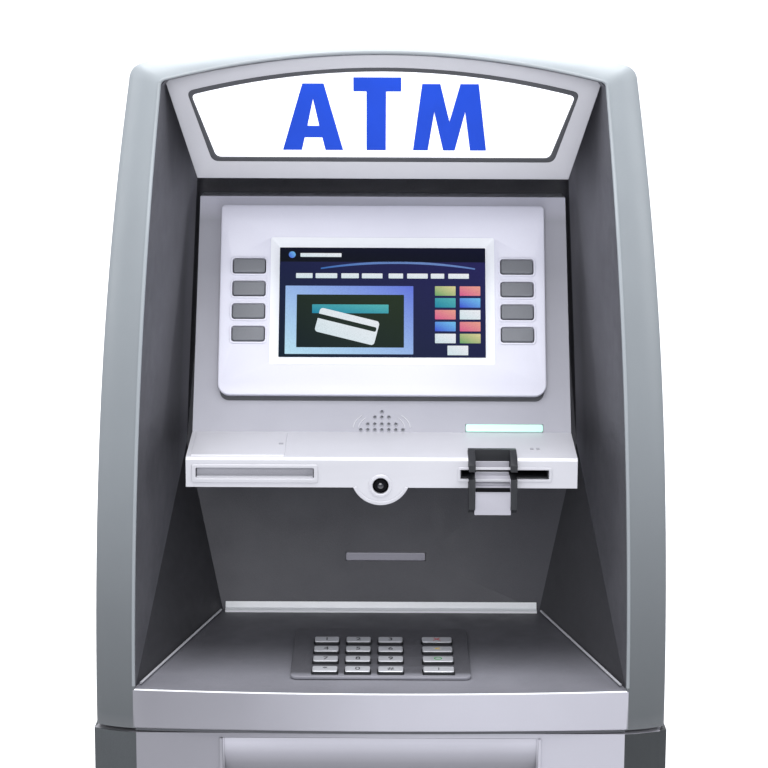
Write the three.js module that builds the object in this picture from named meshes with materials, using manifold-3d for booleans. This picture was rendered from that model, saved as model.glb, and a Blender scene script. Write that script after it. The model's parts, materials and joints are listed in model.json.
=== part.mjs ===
// A free-standing retail cash machine, in millimetres. +Z is up and the customer stands at -Y.
// Everything is laid out in "depth": Y = 0 is the front plane and Y grows towards the rear.
// The whole machine is then shifted so that the origin is on the floor under its middle.
import * as THREE from 'three';
import Module from 'manifold-3d';
import { mergeVertices } from 'three/addons/utils/BufferGeometryUtils.js';
import { ConvexGeometry } from 'three/addons/geometries/ConvexGeometry.js';

const wasm = await Module();
wasm.setup();

// ---------------------------------------------------------------- driving dimensions
const MACHINE_REAR = 551;            // depth of the rear panel behind the front plane
const LIP_BOW = 9;                   // how far the hood's lower lip bulges in front of the front plane
const SKIN = 3;                      // moulded wall thickness
const FIT = 0.3;                     // gap between neighbouring pieces

const CABINET_TOP = 935;             // top of the lower cabinet
const HOOD_BOTTOM = 938;             // bottom of the upper unit, above the seam
const HOOD_REAR = 268;               // rear edge of the hood
const HOOD_WIDEST = { half: 207, z: 1020, radius: 2600 };
const HOOD_TOP = { z: 1436, radius: 622 };
const HOOD_SHOULDER = 1400;          // where the side turns into the arched top
const HOOD_TAIL = { start: 238, inset: 9 };
const BAND_DEPTH = 11;               // front band, from the opening's edge back to the side

const OPENING = { half: 177, z: 967.3, narrowing: 21.3, rise: 433, power: 1.7 };
const OPENING_TOP = { z: 1419.4, radius: 637, half: 152, shoulder: 1397 };
const LEAN = { start: 1150, end: 1419, back: 35 };

const RECESS_DEPTH = 185;            // back wall of the user recess
const RECESS_SPLAY = 0.104;          // how much the side walls close in per mm of depth
const FACET = { half: 153.5, z: 1112 };
const DECK_REAR = { half: 126.2, y: 175, z: 977.5 };
const RECESS_ROOF_DROP = 11;

const FASCIA = { y: 78, z: 1141.3, length: 183.1, tilt: THREE.MathUtils.degToRad(23.15), half: 140.4 };
const FASCIA_TAPER = 0.0125;
const SHELF = { front: 20, bottom: 1112, top: 1133.7 };
const BEZEL = { half: 122.2, low: 26.6, high: 174.7, proud: 5, lowCorner: 9, highCorner: 3 };
const SCREEN = { half: 77.6, low: 56.9, high: 142.4, bevel: 7.4 };
const KEY_ROWS = [126.2, 108.5, 90.9, 73.4];
const SIDE_KEY = { left: -100.2, right: 101.1, wide: 23.8, tall: 10.7, proud: 1.6, deep: 10.9 };
const SPEAKER_ROWS = [[15.4, 1], [11.3, 3], [6, 5], [1.7, 7]];
const SPEAKER_PITCH = 5.2;
const CARD_SLOT = { left: 56.6, right: 120, low: 1119.6, high: 1125.2 };
const THROAT = { left: 62.3, right: 97, cheek: 4.8, front: 12, back: 32, low: 1094.5 };
const CARD_LAMP = { left: 62.3, right: 119.5, low: 0.5, high: 6 };
const RECEIPT_SLOT = { left: -134, right: -48, low: 1117.6, high: 1126.7 };
const CAMERA = { x: -0.7, radius: 21.2, z: 1120.7, top: 1125, hole: 5.9, holeZ: 1113.2 };

const HEADER = { y: 76, z: 1329.6, half: 134, tilt: THREE.MathUtils.degToRad(23.05) };
const HEADER_CORNER = 151.8;         // half width of the header's top, and its gap under the hood
const HEADER_GAP = 1.35;
const SIGN = { low: 13.7, lowHalf: 122.9, high: 68.3, highHalf: 139, peak: 87 };

const DECK_TILT = Math.atan((DECK_REAR.z - OPENING.z) / DECK_REAR.y);
const PIN_PLATE = { half: 66, front: 20, rear: 125, proud: 2.5, body: 60, depth: 20 };
const PIN_ROWS = [93.5, 72.9, 51.8, 30.4];
const PIN_COLUMNS = [[-41, 18.5], [-17, 18.5], [7.3, 18.5], [42.5, 22.7]];
const PIN_KEY = { deep: 11.5, top: 5, bottom: -1.5, pocket: -5, gap: 0.5 };
const CASH_LAMP = { left: -28, right: 35, low: 40.2, high: 46.6 };

const REAR = { half: 196, front: 271, knee: 1200, topHalf: 171, shoulder: 1396, top: 1424, sheet: 2 };
const LOCK = { y: 235, z: 1180, reach: 50, hook: 20 };
const KEEPER = { y: 272, low: 1152, high: 1171 };
const FAN = { x: 110, z: 1310, radius: 36, blades: 7 };
const INLET = { x: 120, z: 985 };

const SAFE = { half: 198, front: 58, bottom: 40, wall: 6, flange: 8 };
const DOOR = { half: 198, front: 48, rear: 54, bottom: 50, top: 927 };
const COVER = { half: 176.5, wide: 208, bottom: 46, tail: 200, rear: 47.5 };
const TRAY = { half: 115.2, bottom: 798, top: 931, depth: 44, wall: 2.5 };
const MOUTH = { half: 84, low: 850, high: 874 };
const LOCK_WINDOW = { left: 45, right: 165, low: 410, high: 650 };
const DIAL = { x: 105, z: 590 };
const HANDLE = { x: 105, z: 470, lever: 50 };
const SAFE_SHELF = 440;
const RACK = { half: 150, front: 90, rear: 480, top: 905, sheet: 3, bay: 640 };
const CASSETTE = { half: 120, front: 94, rear: 470, low: 444.5, high: 630 };

// ---------------------------------------------------------------- materials
const COLOURS = {
  silver: [0xa9adb2, 0.42, 0.35], pale: [0xc9cace, 0.42, 0.3], white: [0xe9ecf0, 0.4, 0],
  dark: [0x4c4d54, 0.55, 0.1], sign: [0xf4f6fa, 0.35, 0], screen: [0x101828, 0.12, 0],
  key: [0x858a90, 0.5, 0.1], keySilver: [0xaeb2b6, 0.35, 0.6], black: [0x1d1e21, 0.5, 0],
  lamp: [0xdafff0, 0.3, 0], lens: [0x8c8a94, 0.3, 0], steel: [0x8e9399, 0.38, 0.9],
  paint: [0x55585e, 0.5, 0.2], paper: [0xf3f1ea, 0.9, 0], zinc: [0xa8acb0, 0.4, 0.85],
};

function material(key) {
  const [color, roughness, metalness] = COLOURS[key];
  return new THREE.MeshStandardMaterial({ color, roughness, metalness });
}

// ---------------------------------------------------------------- solids from geometry
function toManifold(geometry) {
  const bare = geometry.index ? geometry.toNonIndexed() : geometry.clone();
  for (const name of Object.keys(bare.attributes)) {
    if (name !== 'position') bare.deleteAttribute(name);
  }
  const merged = mergeVertices(bare, 1e-4);
  const corners = merged.index.array;
  const faces = [];
  for (let i = 0; i < corners.length; i += 3) {
    const [a, b, c] = [corners[i], corners[i + 1], corners[i + 2]];
    if (a !== b && b !== c && c !== a) faces.push(a, b, c);
  }
  return new wasm.Manifold(new wasm.Mesh({
    numProp: 3,
    vertProperties: new Float32Array(merged.attributes.position.array),
    triVerts: new Uint32Array(faces),
  }));
}

function fromManifold(solid) {
  const data = solid.getMesh();
  const geometry = new THREE.BufferGeometry();
  geometry.setAttribute('position', new THREE.BufferAttribute(new Float32Array(data.vertProperties), 3));
  geometry.setIndex(new THREE.BufferAttribute(new Uint32Array(data.triVerts), 1));
  const flat = geometry.toNonIndexed();
  flat.computeVertexNormals();
  return flat;
}

function combine(base, { add = [], cut = [] }) {
  let solid = toManifold(base);
  for (const extra of add) solid = solid.add(toManifold(extra));
  for (const tool of cut) solid = solid.subtract(toManifold(tool));
  return fromManifold(solid);
}

function box(x0, x1, y0, y1, z0, z1) {
  const geometry = new THREE.BoxGeometry(x1 - x0, y1 - y0, z1 - z0);
  return geometry.translate((x0 + x1) / 2, (y0 + y1) / 2, (z0 + z1) / 2);
}

function outline(points) {
  return new THREE.Shape(points.map(([x, y]) => new THREE.Vector2(x, y)));
}

function arc(cx, cy, r, start, sweep, steps) {
  const points = [];
  for (let i = 0; i <= steps; i += 1) {
    const angle = THREE.MathUtils.degToRad(start + sweep * i / steps);
    points.push([cx + r * Math.cos(angle), cy + r * Math.sin(angle)]);
  }
  return points;
}

function roundedRectangle(x0, x1, y0, y1, low, steps = 3, high = low) {
  return outline([
    ...arc(x1 - high, y1 - high, high, 0, 90, steps), ...arc(x0 + high, y1 - high, high, 90, 90, steps),
    ...arc(x0 + low, y0 + low, low, 180, 90, steps), ...arc(x1 - low, y0 + low, low, 270, 90, steps),
  ]);
}

function extrude(shape, depth) {
  return new THREE.ExtrudeGeometry(shape, { depth, bevelEnabled: false, curveSegments: 6 });
}

// A shape drawn in (X, Y), standing from z0 to z1.
function upright(shape, z0, z1) {
  return extrude(shape, z1 - z0).translate(0, 0, z0);
}

// A shape drawn in (Y, Z), running from x0 to x1.
function across(shape, x0, x1) {
  const turn = new THREE.Matrix4().makeBasis(
    new THREE.Vector3(0, 1, 0), new THREE.Vector3(0, 0, 1), new THREE.Vector3(1, 0, 0));
  return extrude(shape, x1 - x0).applyMatrix4(turn).translate(x0, 0, 0);
}

// A shape drawn in (X, Z), running from y0 to y1.
function inward(shape, y0, y1) {
  const turn = new THREE.Matrix4().makeBasis(
    new THREE.Vector3(1, 0, 0), new THREE.Vector3(0, 0, 1), new THREE.Vector3(0, -1, 0));
  return extrude(shape, y1 - y0).applyMatrix4(turn).translate(0, y1, 0);
}

function rodX(radius, x0, x1, y, z, sides = 16) {
  return new THREE.CylinderGeometry(radius, radius, x1 - x0, sides)
    .rotateZ(Math.PI / 2).translate((x0 + x1) / 2, y, z);
}

function rodY(radius, y0, y1, x, z, sides = 20) {
  return new THREE.CylinderGeometry(radius, radius, y1 - y0, sides).translate(x, (y0 + y1) / 2, z);
}

function rodZ(radius, z0, z1, x, y, sides = 16) {
  return new THREE.CylinderGeometry(radius, radius, z1 - z0, sides)
    .rotateX(Math.PI / 2).translate(x, y, (z0 + z1) / 2);
}

// A closed solid through a row of matching rings; the two ends are capped over the flat ring given.
function loft(rings, flatRing) {
  const count = rings[0].length;
  const positions = rings.flat(2);
  const faces = [];
  for (let r = 0; r + 1 < rings.length; r += 1) {
    for (let i = 0; i < count; i += 1) {
      const next = (i + 1) % count;
      const [a, b, c, d] = [r * count + i, r * count + next, (r + 1) * count + next, (r + 1) * count + i];
      faces.push(a, b, c, a, c, d);
    }
  }
  const cap = THREE.ShapeUtils.triangulateShape(flatRing.map(([x, y]) => new THREE.Vector2(x, y)), []);
  const area = THREE.ShapeUtils.area(flatRing.map(([x, y]) => new THREE.Vector2(x, y)));
  const last = (rings.length - 1) * count;
  for (const [a, b, c] of cap) {
    if (area > 0) faces.push(a, c, b, last + a, last + b, last + c);
    else faces.push(a, b, c, last + a, last + c, last + b);
  }
  const geometry = new THREE.BufferGeometry();
  geometry.setAttribute('position', new THREE.BufferAttribute(new Float32Array(positions), 3));
  geometry.setIndex(faces);
  return faceOutward(geometry);
}

function faceOutward(geometry) {
  const p = geometry.attributes.position;
  const index = geometry.index.array;
  const [a, b, c] = [new THREE.Vector3(), new THREE.Vector3(), new THREE.Vector3()];
  let volume = 0;
  for (let i = 0; i < index.length; i += 3) {
    a.fromBufferAttribute(p, index[i]);
    b.fromBufferAttribute(p, index[i + 1]);
    c.fromBufferAttribute(p, index[i + 2]);
    volume += a.dot(b.cross(c));
  }
  if (volume < 0) {
    for (let i = 0; i < index.length; i += 3) {
      [index[i + 1], index[i + 2]] = [index[i + 2], index[i + 1]];
    }
  }
  return geometry;
}

// A solid of revolution about Y, from a profile of [radius, y] that starts and ends on the axis.
function turned(profile, sides) {
  const geometry = new THREE.LatheGeometry(profile.map(([r, y]) => new THREE.Vector2(r, y)), sides);
  geometry.deleteAttribute('normal');
  geometry.deleteAttribute('uv');
  return fromManifold(toManifold(faceOutward(mergeVertices(geometry))));
}

function hull(points) {
  return new ConvexGeometry(points.map(([x, y, z]) => new THREE.Vector3(x, y, z)));
}

function piece(name, colour, geometry) {
  const mesh = new THREE.Mesh(geometry, material(colour));
  mesh.name = name;
  return mesh;
}

// ---------------------------------------------------------------- curves of the upper unit
function hoodHalf(z) {
  return HOOD_WIDEST.half - (z - HOOD_WIDEST.z) ** 2 / (2 * HOOD_WIDEST.radius);
}

function arcHeight({ z, radius }, x) {
  return z - radius + Math.sqrt(radius ** 2 - x ** 2);
}

function openingHalf(z) {
  const rise = Math.max(z - OPENING.z, 0) / OPENING.rise;
  return OPENING.half - OPENING.narrowing * rise ** OPENING.power;
}

function leanBack(z) {
  return LEAN.back * (Math.max(z - LEAN.start, 0) / (LEAN.end - LEAN.start)) ** 2;
}

function lerp(a, b, t) {
  return a + (b - a) * t;
}

// Matching points of the opening's edge and of the hood's outside, from the lower left, over the top,
// to the lower right. Each entry is [inner x, inner z, outer x, outer z].
function hoodStations(bottom, sideSteps, topSteps) {
  const left = [];
  for (let i = 0; i <= sideSteps; i += 1) {
    const t = i / sideSteps;
    const zInner = lerp(bottom, OPENING_TOP.shoulder, t);
    const zOuter = lerp(bottom, HOOD_SHOULDER, t);
    left.push([-openingHalf(zInner), zInner, -hoodHalf(zOuter), zOuter]);
  }
  left.push([-154.6, 1399.6, -177, 1407.6]);
  const top = [];
  for (let i = 0; i <= topSteps; i += 1) {
    const t = 2 * i / topSteps - 1;
    const xOuter = 171 * t;
    const xInner = OPENING_TOP.half * t;
    top.push([xInner, arcHeight(OPENING_TOP, xInner), xOuter, arcHeight(HOOD_TOP, xOuter)]);
  }
  const right = left.map(([a, b, c, d]) => [-a, b, -c, d]).reverse();
  return [...left, ...top, ...right];
}

// ---------------------------------------------------------------- upper unit: shell and recess
function hoodSection(width, y) {
  const band = [0.25, 0.5, 0.75].map((t) => {
    const over = 0.5 * t + 0.5 * Math.sin(t * Math.PI / 2);
    const back = 0.5 * t + 0.5 * (1 - Math.cos(t * Math.PI / 2));
    return [width * over, y + BAND_DEPTH * back];
  });
  return [
    [0, y + 5], [0, y + 1], [0.9, y], ...band, [width, y + BAND_DEPTH], [width, HOOD_TAIL.start],
    [width - HOOD_TAIL.inset, HOOD_REAR], [width - HOOD_TAIL.inset - SKIN, HOOD_REAR],
    [width - SKIN, HOOD_TAIL.start - 1], [width - SKIN, y + BAND_DEPTH + 1], [SKIN, y + 5],
  ];
}

function lip() {
  const rings = [];
  const steps = 12;
  let flat = [];
  for (let i = 0; i <= steps; i += 1) {
    const t = 2 * i / steps - 1;
    const x = (OPENING.half + 1.5) * t;
    const high = -LIP_BOW * (1 - t * t);
    const low = high * 0.7;
    flat = [
      [high, 966], [high + 1.3, 967.3], [5, 967.6], [5, 964.6], [high + SKIN + 0.4, 964.2],
      [low + SKIN, 941], [12, 941], [12, HOOD_BOTTOM], [low, HOOD_BOTTOM],
    ];
    rings.push(flat.map(([y, z]) => [x, y, z]));
  }
  return loft(rings, flat);
}

function hoodShell() {
  let flat = [];
  const rings = hoodStations(HOOD_BOTTOM, 12, 12).map(([xi, zi, xo, zo]) => {
    const width = Math.hypot(xo - xi, zo - zi);
    const [nx, nz] = [(xo - xi) / width, (zo - zi) / width];
    flat = hoodSection(width, leanBack(zi));
    return flat.map(([a, y]) => [xi + nx * a, y, zi + nz * a]);
  });
  const lockHole = rodX(8.3, 160, 215, LOCK.y, LOCK.z, 16);
  return piece('hood_shell', 'silver', combine(loft(rings, flat), { add: [lip()], cut: [lockHole] }));
}

// Matching front and back points of the recess walls, grown outwards by a thickness.
function recessPoints(grow) {
  const front = [];
  const back = [];
  const add = (x, z, xBack, yBack, zBack) => {
    front.push([x, leanBack(z) * 1.04 + 5.5, z]);
    back.push([xBack, yBack + grow, zBack]);
  };
  for (const side of [-1, 1]) {
    add(side * (OPENING.half + grow), OPENING.z - grow, side * (DECK_REAR.half + grow), DECK_REAR.y,
      DECK_REAR.z - grow);
    const steps = 9;
    for (let i = 0; i <= steps; i += 1) {
      const z = lerp(OPENING.z + 0.5, OPENING_TOP.shoulder, i / steps);
      const zBack = Math.max(z, FACET.z);
      const halfBack = openingHalf(zBack) - RECESS_SPLAY * (RECESS_DEPTH - leanBack(zBack));
      add(side * (openingHalf(z) + grow), z, side * (halfBack + grow), RECESS_DEPTH, Math.min(zBack, 1388));
    }
  }
  const topSteps = 10;
  for (let i = 0; i <= topSteps; i += 1) {
    const x = OPENING_TOP.half * (2 * i / topSteps - 1);
    const z = arcHeight(OPENING_TOP, x) + grow;
    add(x, z, x * 0.9, RECESS_DEPTH, z - RECESS_ROOF_DROP);
  }
  return { front, back };
}

function recessLiner() {
  const outer = recessPoints(SKIN);
  const inner = recessPoints(0);
  const mouth = inner.front.map(([x, y, z]) => [x, y - 25, z]);
  const deckHole = deckFrame(box(-61, 61, 23.6, 120, -10, 10));
  const lampHole = backFrame(box(CASH_LAMP.left - FIT, CASH_LAMP.right + FIT, -8, 8,
    CASH_LAMP.low - FIT, CASH_LAMP.high + FIT));
  const podHole = box(-136, 136, 180, 192, 1114.5, 1306);
  return piece('recess_liner', 'dark', combine(hull([...outer.front, ...outer.back]), {
    cut: [hull([...mouth, ...inner.front, ...inner.back]), podHole, deckHole, lampHole],
  }));
}

// Geometry given in the deck's own frame (Y along the deck, Z off it), moved into place.
function deckFrame(geometry) {
  return geometry.rotateX(DECK_TILT).translate(0, 0, OPENING.z);
}

// Geometry given in the lower back wall's frame (Z up the wall, -Y towards the customer).
function backFrame(geometry) {
  const tilt = Math.atan((RECESS_DEPTH - DECK_REAR.y) / (FACET.z - DECK_REAR.z));
  return geometry.rotateX(-tilt).translate(0, DECK_REAR.y, DECK_REAR.z);
}

// Geometry given in the fascia's frame (Z up the fascia, -Y off it towards the customer).
function fasciaFrame(geometry) {
  return geometry.rotateX(-FASCIA.tilt).translate(0, FASCIA.y, FASCIA.z);
}

// Geometry given in the header face's frame (Z up the face, -Y off it towards the customer).
function headerFrame(geometry) {
  return geometry.rotateX(HEADER.tilt).translate(0, HEADER.y, HEADER.z);
}

// ---------------------------------------------------------------- header and sign
function headerSolid(inset, front, back) {
  const points = [];
  const steps = 10;
  for (let i = 0; i <= steps; i += 1) {
    const x = HEADER_CORNER * (2 * i / steps - 1);
    const z = arcHeight(OPENING_TOP, x) - HEADER_GAP - inset;
    const y = HEADER.y - (z - HEADER.z) * Math.tan(HEADER.tilt) + front;
    const scale = (HEADER_CORNER - inset) / HEADER_CORNER;
    points.push([x * scale, y, z], [x * scale * 0.9, back, z - RECESS_ROOF_DROP]);
  }
  for (const side of [-1, 1]) {
    const x = side * (HEADER.half - inset);
    points.push([x, HEADER.y + front, HEADER.z + inset], [x, back, HEADER.z + inset]);
  }
  return hull(points);
}

function signOutline(inset) {
  const points = [[-SIGN.lowHalf + inset, SIGN.low + inset], [SIGN.lowHalf - inset, SIGN.low + inset]];
  const steps = 12;
  for (let i = 0; i <= steps; i += 1) {
    const t = 1 - 2 * i / steps;
    const x = (SIGN.highHalf - inset) * t;
    const drop = i === 0 || i === steps ? 2.5 : 0;
    points.push([x, SIGN.peak - inset - (SIGN.peak - SIGN.high) * t * t - drop]);
  }
  return outline(points);
}

function header(group) {
  const window = headerFrame(inward(signOutline(0), -12, 12));
  group.add(piece('sign_box', 'pale', combine(headerSolid(0, 0, 184.5), {
    cut: [headerSolid(SKIN, SKIN, 200), window],
  })));
  group.add(piece('sign_panel', 'sign', headerFrame(inward(signOutline(FIT), 0.6, 3.6))));
}

// ---------------------------------------------------------------- display pod
function podProfile(inset, rear) {
  const top = FASCIA.z + FASCIA.length * Math.cos(FASCIA.tilt);
  const topY = FASCIA.y + FASCIA.length * Math.sin(FASCIA.tilt);
  return outline([
    [SHELF.front + inset, SHELF.bottom + inset], [rear, SHELF.bottom + inset], [rear, top - inset],
    [topY + inset * 1.1, top - inset], [FASCIA.y + inset * 1.1, FASCIA.z + (inset ? -inset : 0)],
    [SHELF.front + 2 + inset, SHELF.top - inset], [SHELF.front + inset, SHELF.top - 2 - inset],
  ]);
}

function tapered(geometry) {
  const p = geometry.attributes.position;
  for (let i = 0; i < p.count; i += 1) {
    const above = Math.max(p.getZ(i) - FASCIA.z, 0);
    p.setX(i, p.getX(i) * (1 - FASCIA_TAPER * above / FASCIA.length));
  }
  return geometry;
}

// The round boss hangs below the shelf, flush with its front. Its top ends inside the shelf.
function cameraBoss() {
  const start = THREE.MathUtils.radToDeg(Math.asin((CAMERA.top - CAMERA.z) / CAMERA.radius));
  const round = arc(CAMERA.x, CAMERA.z, CAMERA.radius, 180 - start, 180 + 2 * start, 22);
  return inward(outline(round), SHELF.front, 44);
}

function displayPod(group) {
  const half = FASCIA.half;
  const boss = cameraBoss();
  const cut = [
    tapered(across(podProfile(SKIN, 200), -half + SKIN, half - SKIN)),
    fasciaFrame(box(-116, 116, -10, 10, 44, 158)),
    box(RECEIPT_SLOT.left, RECEIPT_SLOT.right, 15, 30, RECEIPT_SLOT.low, RECEIPT_SLOT.high),
    box(CARD_SLOT.left, CARD_SLOT.right, 15, 30, CARD_SLOT.low - 1.2, CARD_SLOT.high),
    box(THROAT.left - FIT, THROAT.right + FIT, 10, THROAT.back + 6.3, 1100, 1160),
    fasciaFrame(box(CARD_LAMP.left - FIT, CARD_LAMP.right + FIT, -10, 10,
      CARD_LAMP.low - FIT, CARD_LAMP.high + FIT)),
    rodY(CAMERA.hole, 10, 50, CAMERA.x, CAMERA.holeZ, 20),
    rodY(CAMERA.hole + 3.4, 24, 50, CAMERA.x, CAMERA.holeZ, 20),
  ];
  for (const [s, count] of SPEAKER_ROWS) {
    for (let i = 0; i < count; i += 1) {
      const x = (i - (count - 1) / 2) * SPEAKER_PITCH;
      const hole = new THREE.CylinderGeometry(1.3, 1.3, 9, 6).translate(x, 0, s);
      cut.push(fasciaFrame(hole));
    }
  }
  const shell = tapered(across(podProfile(0, 184.5), -half, half));
  group.add(piece('display_pod', 'silver', combine(shell, { add: [boss], cut })));
}

function screenBezel(group) {
  const edge = roundedRectangle(-BEZEL.half, BEZEL.half, BEZEL.low, BEZEL.high, BEZEL.lowCorner, 4,
    BEZEL.highCorner);
  const plate = inward(edge, -BEZEL.proud - FIT, -FIT);
  const deep = { x: SCREEN.half, low: SCREEN.low, high: SCREEN.high };
  const flare = SCREEN.bevel;
  const bevel = hull([-1, 1].flatMap((side) => [
    [side * deep.x, 2, deep.low], [side * deep.x, 2, deep.high],
    [side * deep.x, -1, deep.low], [side * deep.x, -1, deep.high],
    [side * (deep.x + flare), -7, deep.low - flare * 1.2], [side * (deep.x + flare), -7, deep.high + flare * 1.4],
  ]));
  const cut = [bevel];
  for (const x of [SIDE_KEY.left, SIDE_KEY.right]) {
    for (const s of KEY_ROWS) {
      const [w, h] = [SIDE_KEY.wide / 2 + 0.4, SIDE_KEY.tall / 2 + 0.4];
      cut.push(box(x - w, x + w, -9, 2, s - h, s + h));
    }
  }
  group.add(piece('screen_bezel', 'white', combine(plate, { cut })));
}

function functionKey(name, x, s) {
  const shape = roundedRectangle(-SIDE_KEY.wide / 2, SIDE_KEY.wide / 2, -SIDE_KEY.tall / 2, SIDE_KEY.tall / 2, 2, 2);
  const top = -BEZEL.proud - FIT - SIDE_KEY.proud;
  const key = piece(name, 'key', inward(shape, top, top + SIDE_KEY.deep));
  key.position.set(x, 0, s);
  return key;
}

function fascia() {
  const group = new THREE.Group();
  group.position.set(0, FASCIA.y, FASCIA.z);
  group.rotation.x = -FASCIA.tilt;
  screenBezel(group);
  const glass = box(-SCREEN.half - 6, SCREEN.half + 6, 0.1, 4, SCREEN.low - 6, SCREEN.high + 6);
  const chassis = box(-SCREEN.half - 8, SCREEN.half + 8, 4, 28, SCREEN.low - 8, SCREEN.high + 8);
  group.add(piece('lcd_module', 'screen', combine(glass, { add: [chassis] })));
  KEY_ROWS.forEach((s, row) => {
    group.add(functionKey(`function_key_left_${row + 1}`, SIDE_KEY.left, s));
    group.add(functionKey(`function_key_right_${row + 1}`, SIDE_KEY.right, s));
  });
  group.add(piece('card_lamp', 'lamp',
    box(CARD_LAMP.left, CARD_LAMP.right, -0.8, 5, CARD_LAMP.low, CARD_LAMP.high)));
  const cone = [[0, 6], [7, 6], [14, 4.6], [17, 4.6], [17, 8], [10, 14], [10, 20], [0, 20]];
  group.add(piece('speaker', 'black', turned(cone, 16).translate(0, 0, 22)));
  return group;
}

// ---------------------------------------------------------------- card reader, receipt printer, camera
function cardReader(group) {
  const { left, right, cheek, front, back, low } = THROAT;
  const core = box(53, 124, SHELF.front + SKIN + FIT, 58, 1115.3, 1128.4);
  const rearWall = box(left, right, back, back + 6, 1115.3, 1137.6);
  const cheeks = [[left, left + cheek], [right - cheek, right]].map(([x0, x1]) => across(outline([
    [front + 1, low + 3], [front + 6, low], [22, low], [22, 1115.3], [back + 1, 1115.3],
    [back + 1, 1137.6], [SHELF.front, 1134.2], [front, 1130], [front, low + 6],
  ]), x0, x1));
  const tongue = across(outline([
    [front + 2, low - 1], [front + 8, low - 1], [24, 1104], [24, 1109.5], [back + 1, 1115.4],
    [back + 1, CARD_SLOT.low], [24, 1114.4], [17, 1112.6], [17, 1110.9], [front + 2, 1110.4],
  ]), left + cheek - 0.5, right - cheek + 0.5);
  const fingerNotch = across(outline([
    [0, 1113.2], [22, 1114.2], [back, CARD_SLOT.low], [back, 1140], [0, 1140],
  ]), left + cheek, right - cheek);
  const slit = box(CARD_SLOT.left + 0.8, CARD_SLOT.right - 0.8, 0, 70, CARD_SLOT.low, CARD_SLOT.high);
  group.add(piece('card_reader_bezel', 'black', combine(core, {
    add: [rearWall, ...cheeks, tongue], cut: [fingerNotch, slit],
  })));
  group.add(piece('card_reader_body', 'black', combine(box(56, 121, 58.5, 178, 1115.3, 1131), {
    cut: [box(59, 118, 50, 150, CARD_SLOT.low, CARD_SLOT.high)],
  })));
}

function receiptPrinter(group) {
  const [x0, x1] = [RECEIPT_SLOT.left - 2, RECEIPT_SLOT.right + 2];
  const body = across(outline([
    [23.4, 1115.4], [258, 1115.4], [258, 1148], [182, 1148], [182, 1166], [104, 1166], [104, 1146],
    [92, 1129], [23.4, 1129],
  ]), x0, x1);
  const cheeks = [[x0, x0 + 3], [x1 - 3, x1]].map(([a, b]) =>
    across(outline([[200, 1140], [252, 1140], [238, 1206], [214, 1206]]), a, b));
  group.add(piece('receipt_printer', 'black', combine(body, {
    add: cheeks,
    cut: [
      box(RECEIPT_SLOT.left + 1, RECEIPT_SLOT.right - 1, 10, 120, RECEIPT_SLOT.low, RECEIPT_SLOT.high),
      box(x0 + 6, x1 - 6, 80, 124, 1126, 1147),
      rodX(3.2, x0 - 5, x1 + 5, 112, 1137, 12),
      rodX(5.4, x0 - 5, x1 + 5, 226, 1190, 12),
    ],
  })));
  const middle = (x0 + x1) / 2;
  const roll = rodX(34, middle - 38, middle + 38, 226, 1190, 28);
  const spindle = rodX(5, x0 - 2, x1 + 2, 226, 1190, 12);
  group.add(piece('paper_roll', 'paper', combine(roll, { add: [spindle] })));
  const platen = rodX(7, middle - 34, middle + 34, 112, 1137, 14);
  const shaft = rodX(2.6, x0 + 1, x1 - 1, 112, 1137, 10);
  group.add(piece('platen_roller', 'black', combine(platen, { add: [shaft] })));
}

function cameraModule(group) {
  const lens = rodY(4.6, 20.5, 26, CAMERA.x, CAMERA.holeZ, 20);
  const barrel = rodY(7.6, 25, 43, CAMERA.x, CAMERA.holeZ, 20);
  group.add(piece('camera_module', 'black', combine(lens, { add: [barrel] })));
}

// ---------------------------------------------------------------- deck keypad and lamp bar
function keypad() {
  const group = new THREE.Group();
  group.position.set(0, 0, OPENING.z);
  group.rotation.x = DECK_TILT;
  const plate = upright(roundedRectangle(-PIN_PLATE.half, PIN_PLATE.half, PIN_PLATE.front, PIN_PLATE.rear, 5, 3),
    FIT, PIN_PLATE.proud);
  const body = box(-PIN_PLATE.body, PIN_PLATE.body, 26, 119, -PIN_PLATE.depth, 1);
  const cut = [];
  PIN_ROWS.forEach((y, row) => PIN_COLUMNS.forEach(([x, wide], column) => {
    const [w, d] = [wide / 2 + PIN_KEY.gap, PIN_KEY.deep / 2 + PIN_KEY.gap];
    cut.push(box(x - w, x + w, y - d, y + d, PIN_KEY.pocket, 9));
    const cap = hull([-1, 1].flatMap((sx) => [-1, 1].flatMap((sy) => [
      [sx * wide / 2, sy * PIN_KEY.deep / 2, PIN_KEY.bottom],
      [sx * wide / 2, sy * PIN_KEY.deep / 2, PIN_KEY.top - 1.2],
      [sx * (wide / 2 - 1.3), sy * (PIN_KEY.deep / 2 - 1.1), PIN_KEY.top],
    ])));
    const key = piece(`pin_key_${row + 1}${column + 1}`, 'keySilver', cap);
    key.position.set(x, y, 0);
    group.add(key);
  }));
  group.add(piece('pin_pad_frame', 'dark', combine(plate, { add: [body], cut })));
  return group;
}

function cashLamp(group) {
  group.add(piece('cash_lamp', 'lens',
    backFrame(box(CASH_LAMP.left, CASH_LAMP.right, -1, 6, CASH_LAMP.low, CASH_LAMP.high))));
}

// The cam is drawn unlocked, standing up. Turned to the rear, its hook drops behind the keeper.
function fasciaLock(group) {
  const { y, z, reach, hook } = LOCK;
  const skin = hoodHalf(z);
  const barrel = rodX(8, skin - 22, skin + 2.5, y, z, 20);
  const keyway = box(skin, skin + 10, y - 0.8, y + 0.8, z - 3.5, z + 3.5);
  const cam = across(outline([
    [y - 7, z - 8], [y + 7, z - 8], [y + 7, z + reach - 8], [y + hook, z + reach - 8], [y + hook, z + reach],
    [y - 7, z + reach],
  ]), skin - 25, skin - 21.5);
  group.add(piece('fascia_lock', 'zinc', combine(barrel, { add: [cam], cut: [keyway] })));
}

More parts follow.
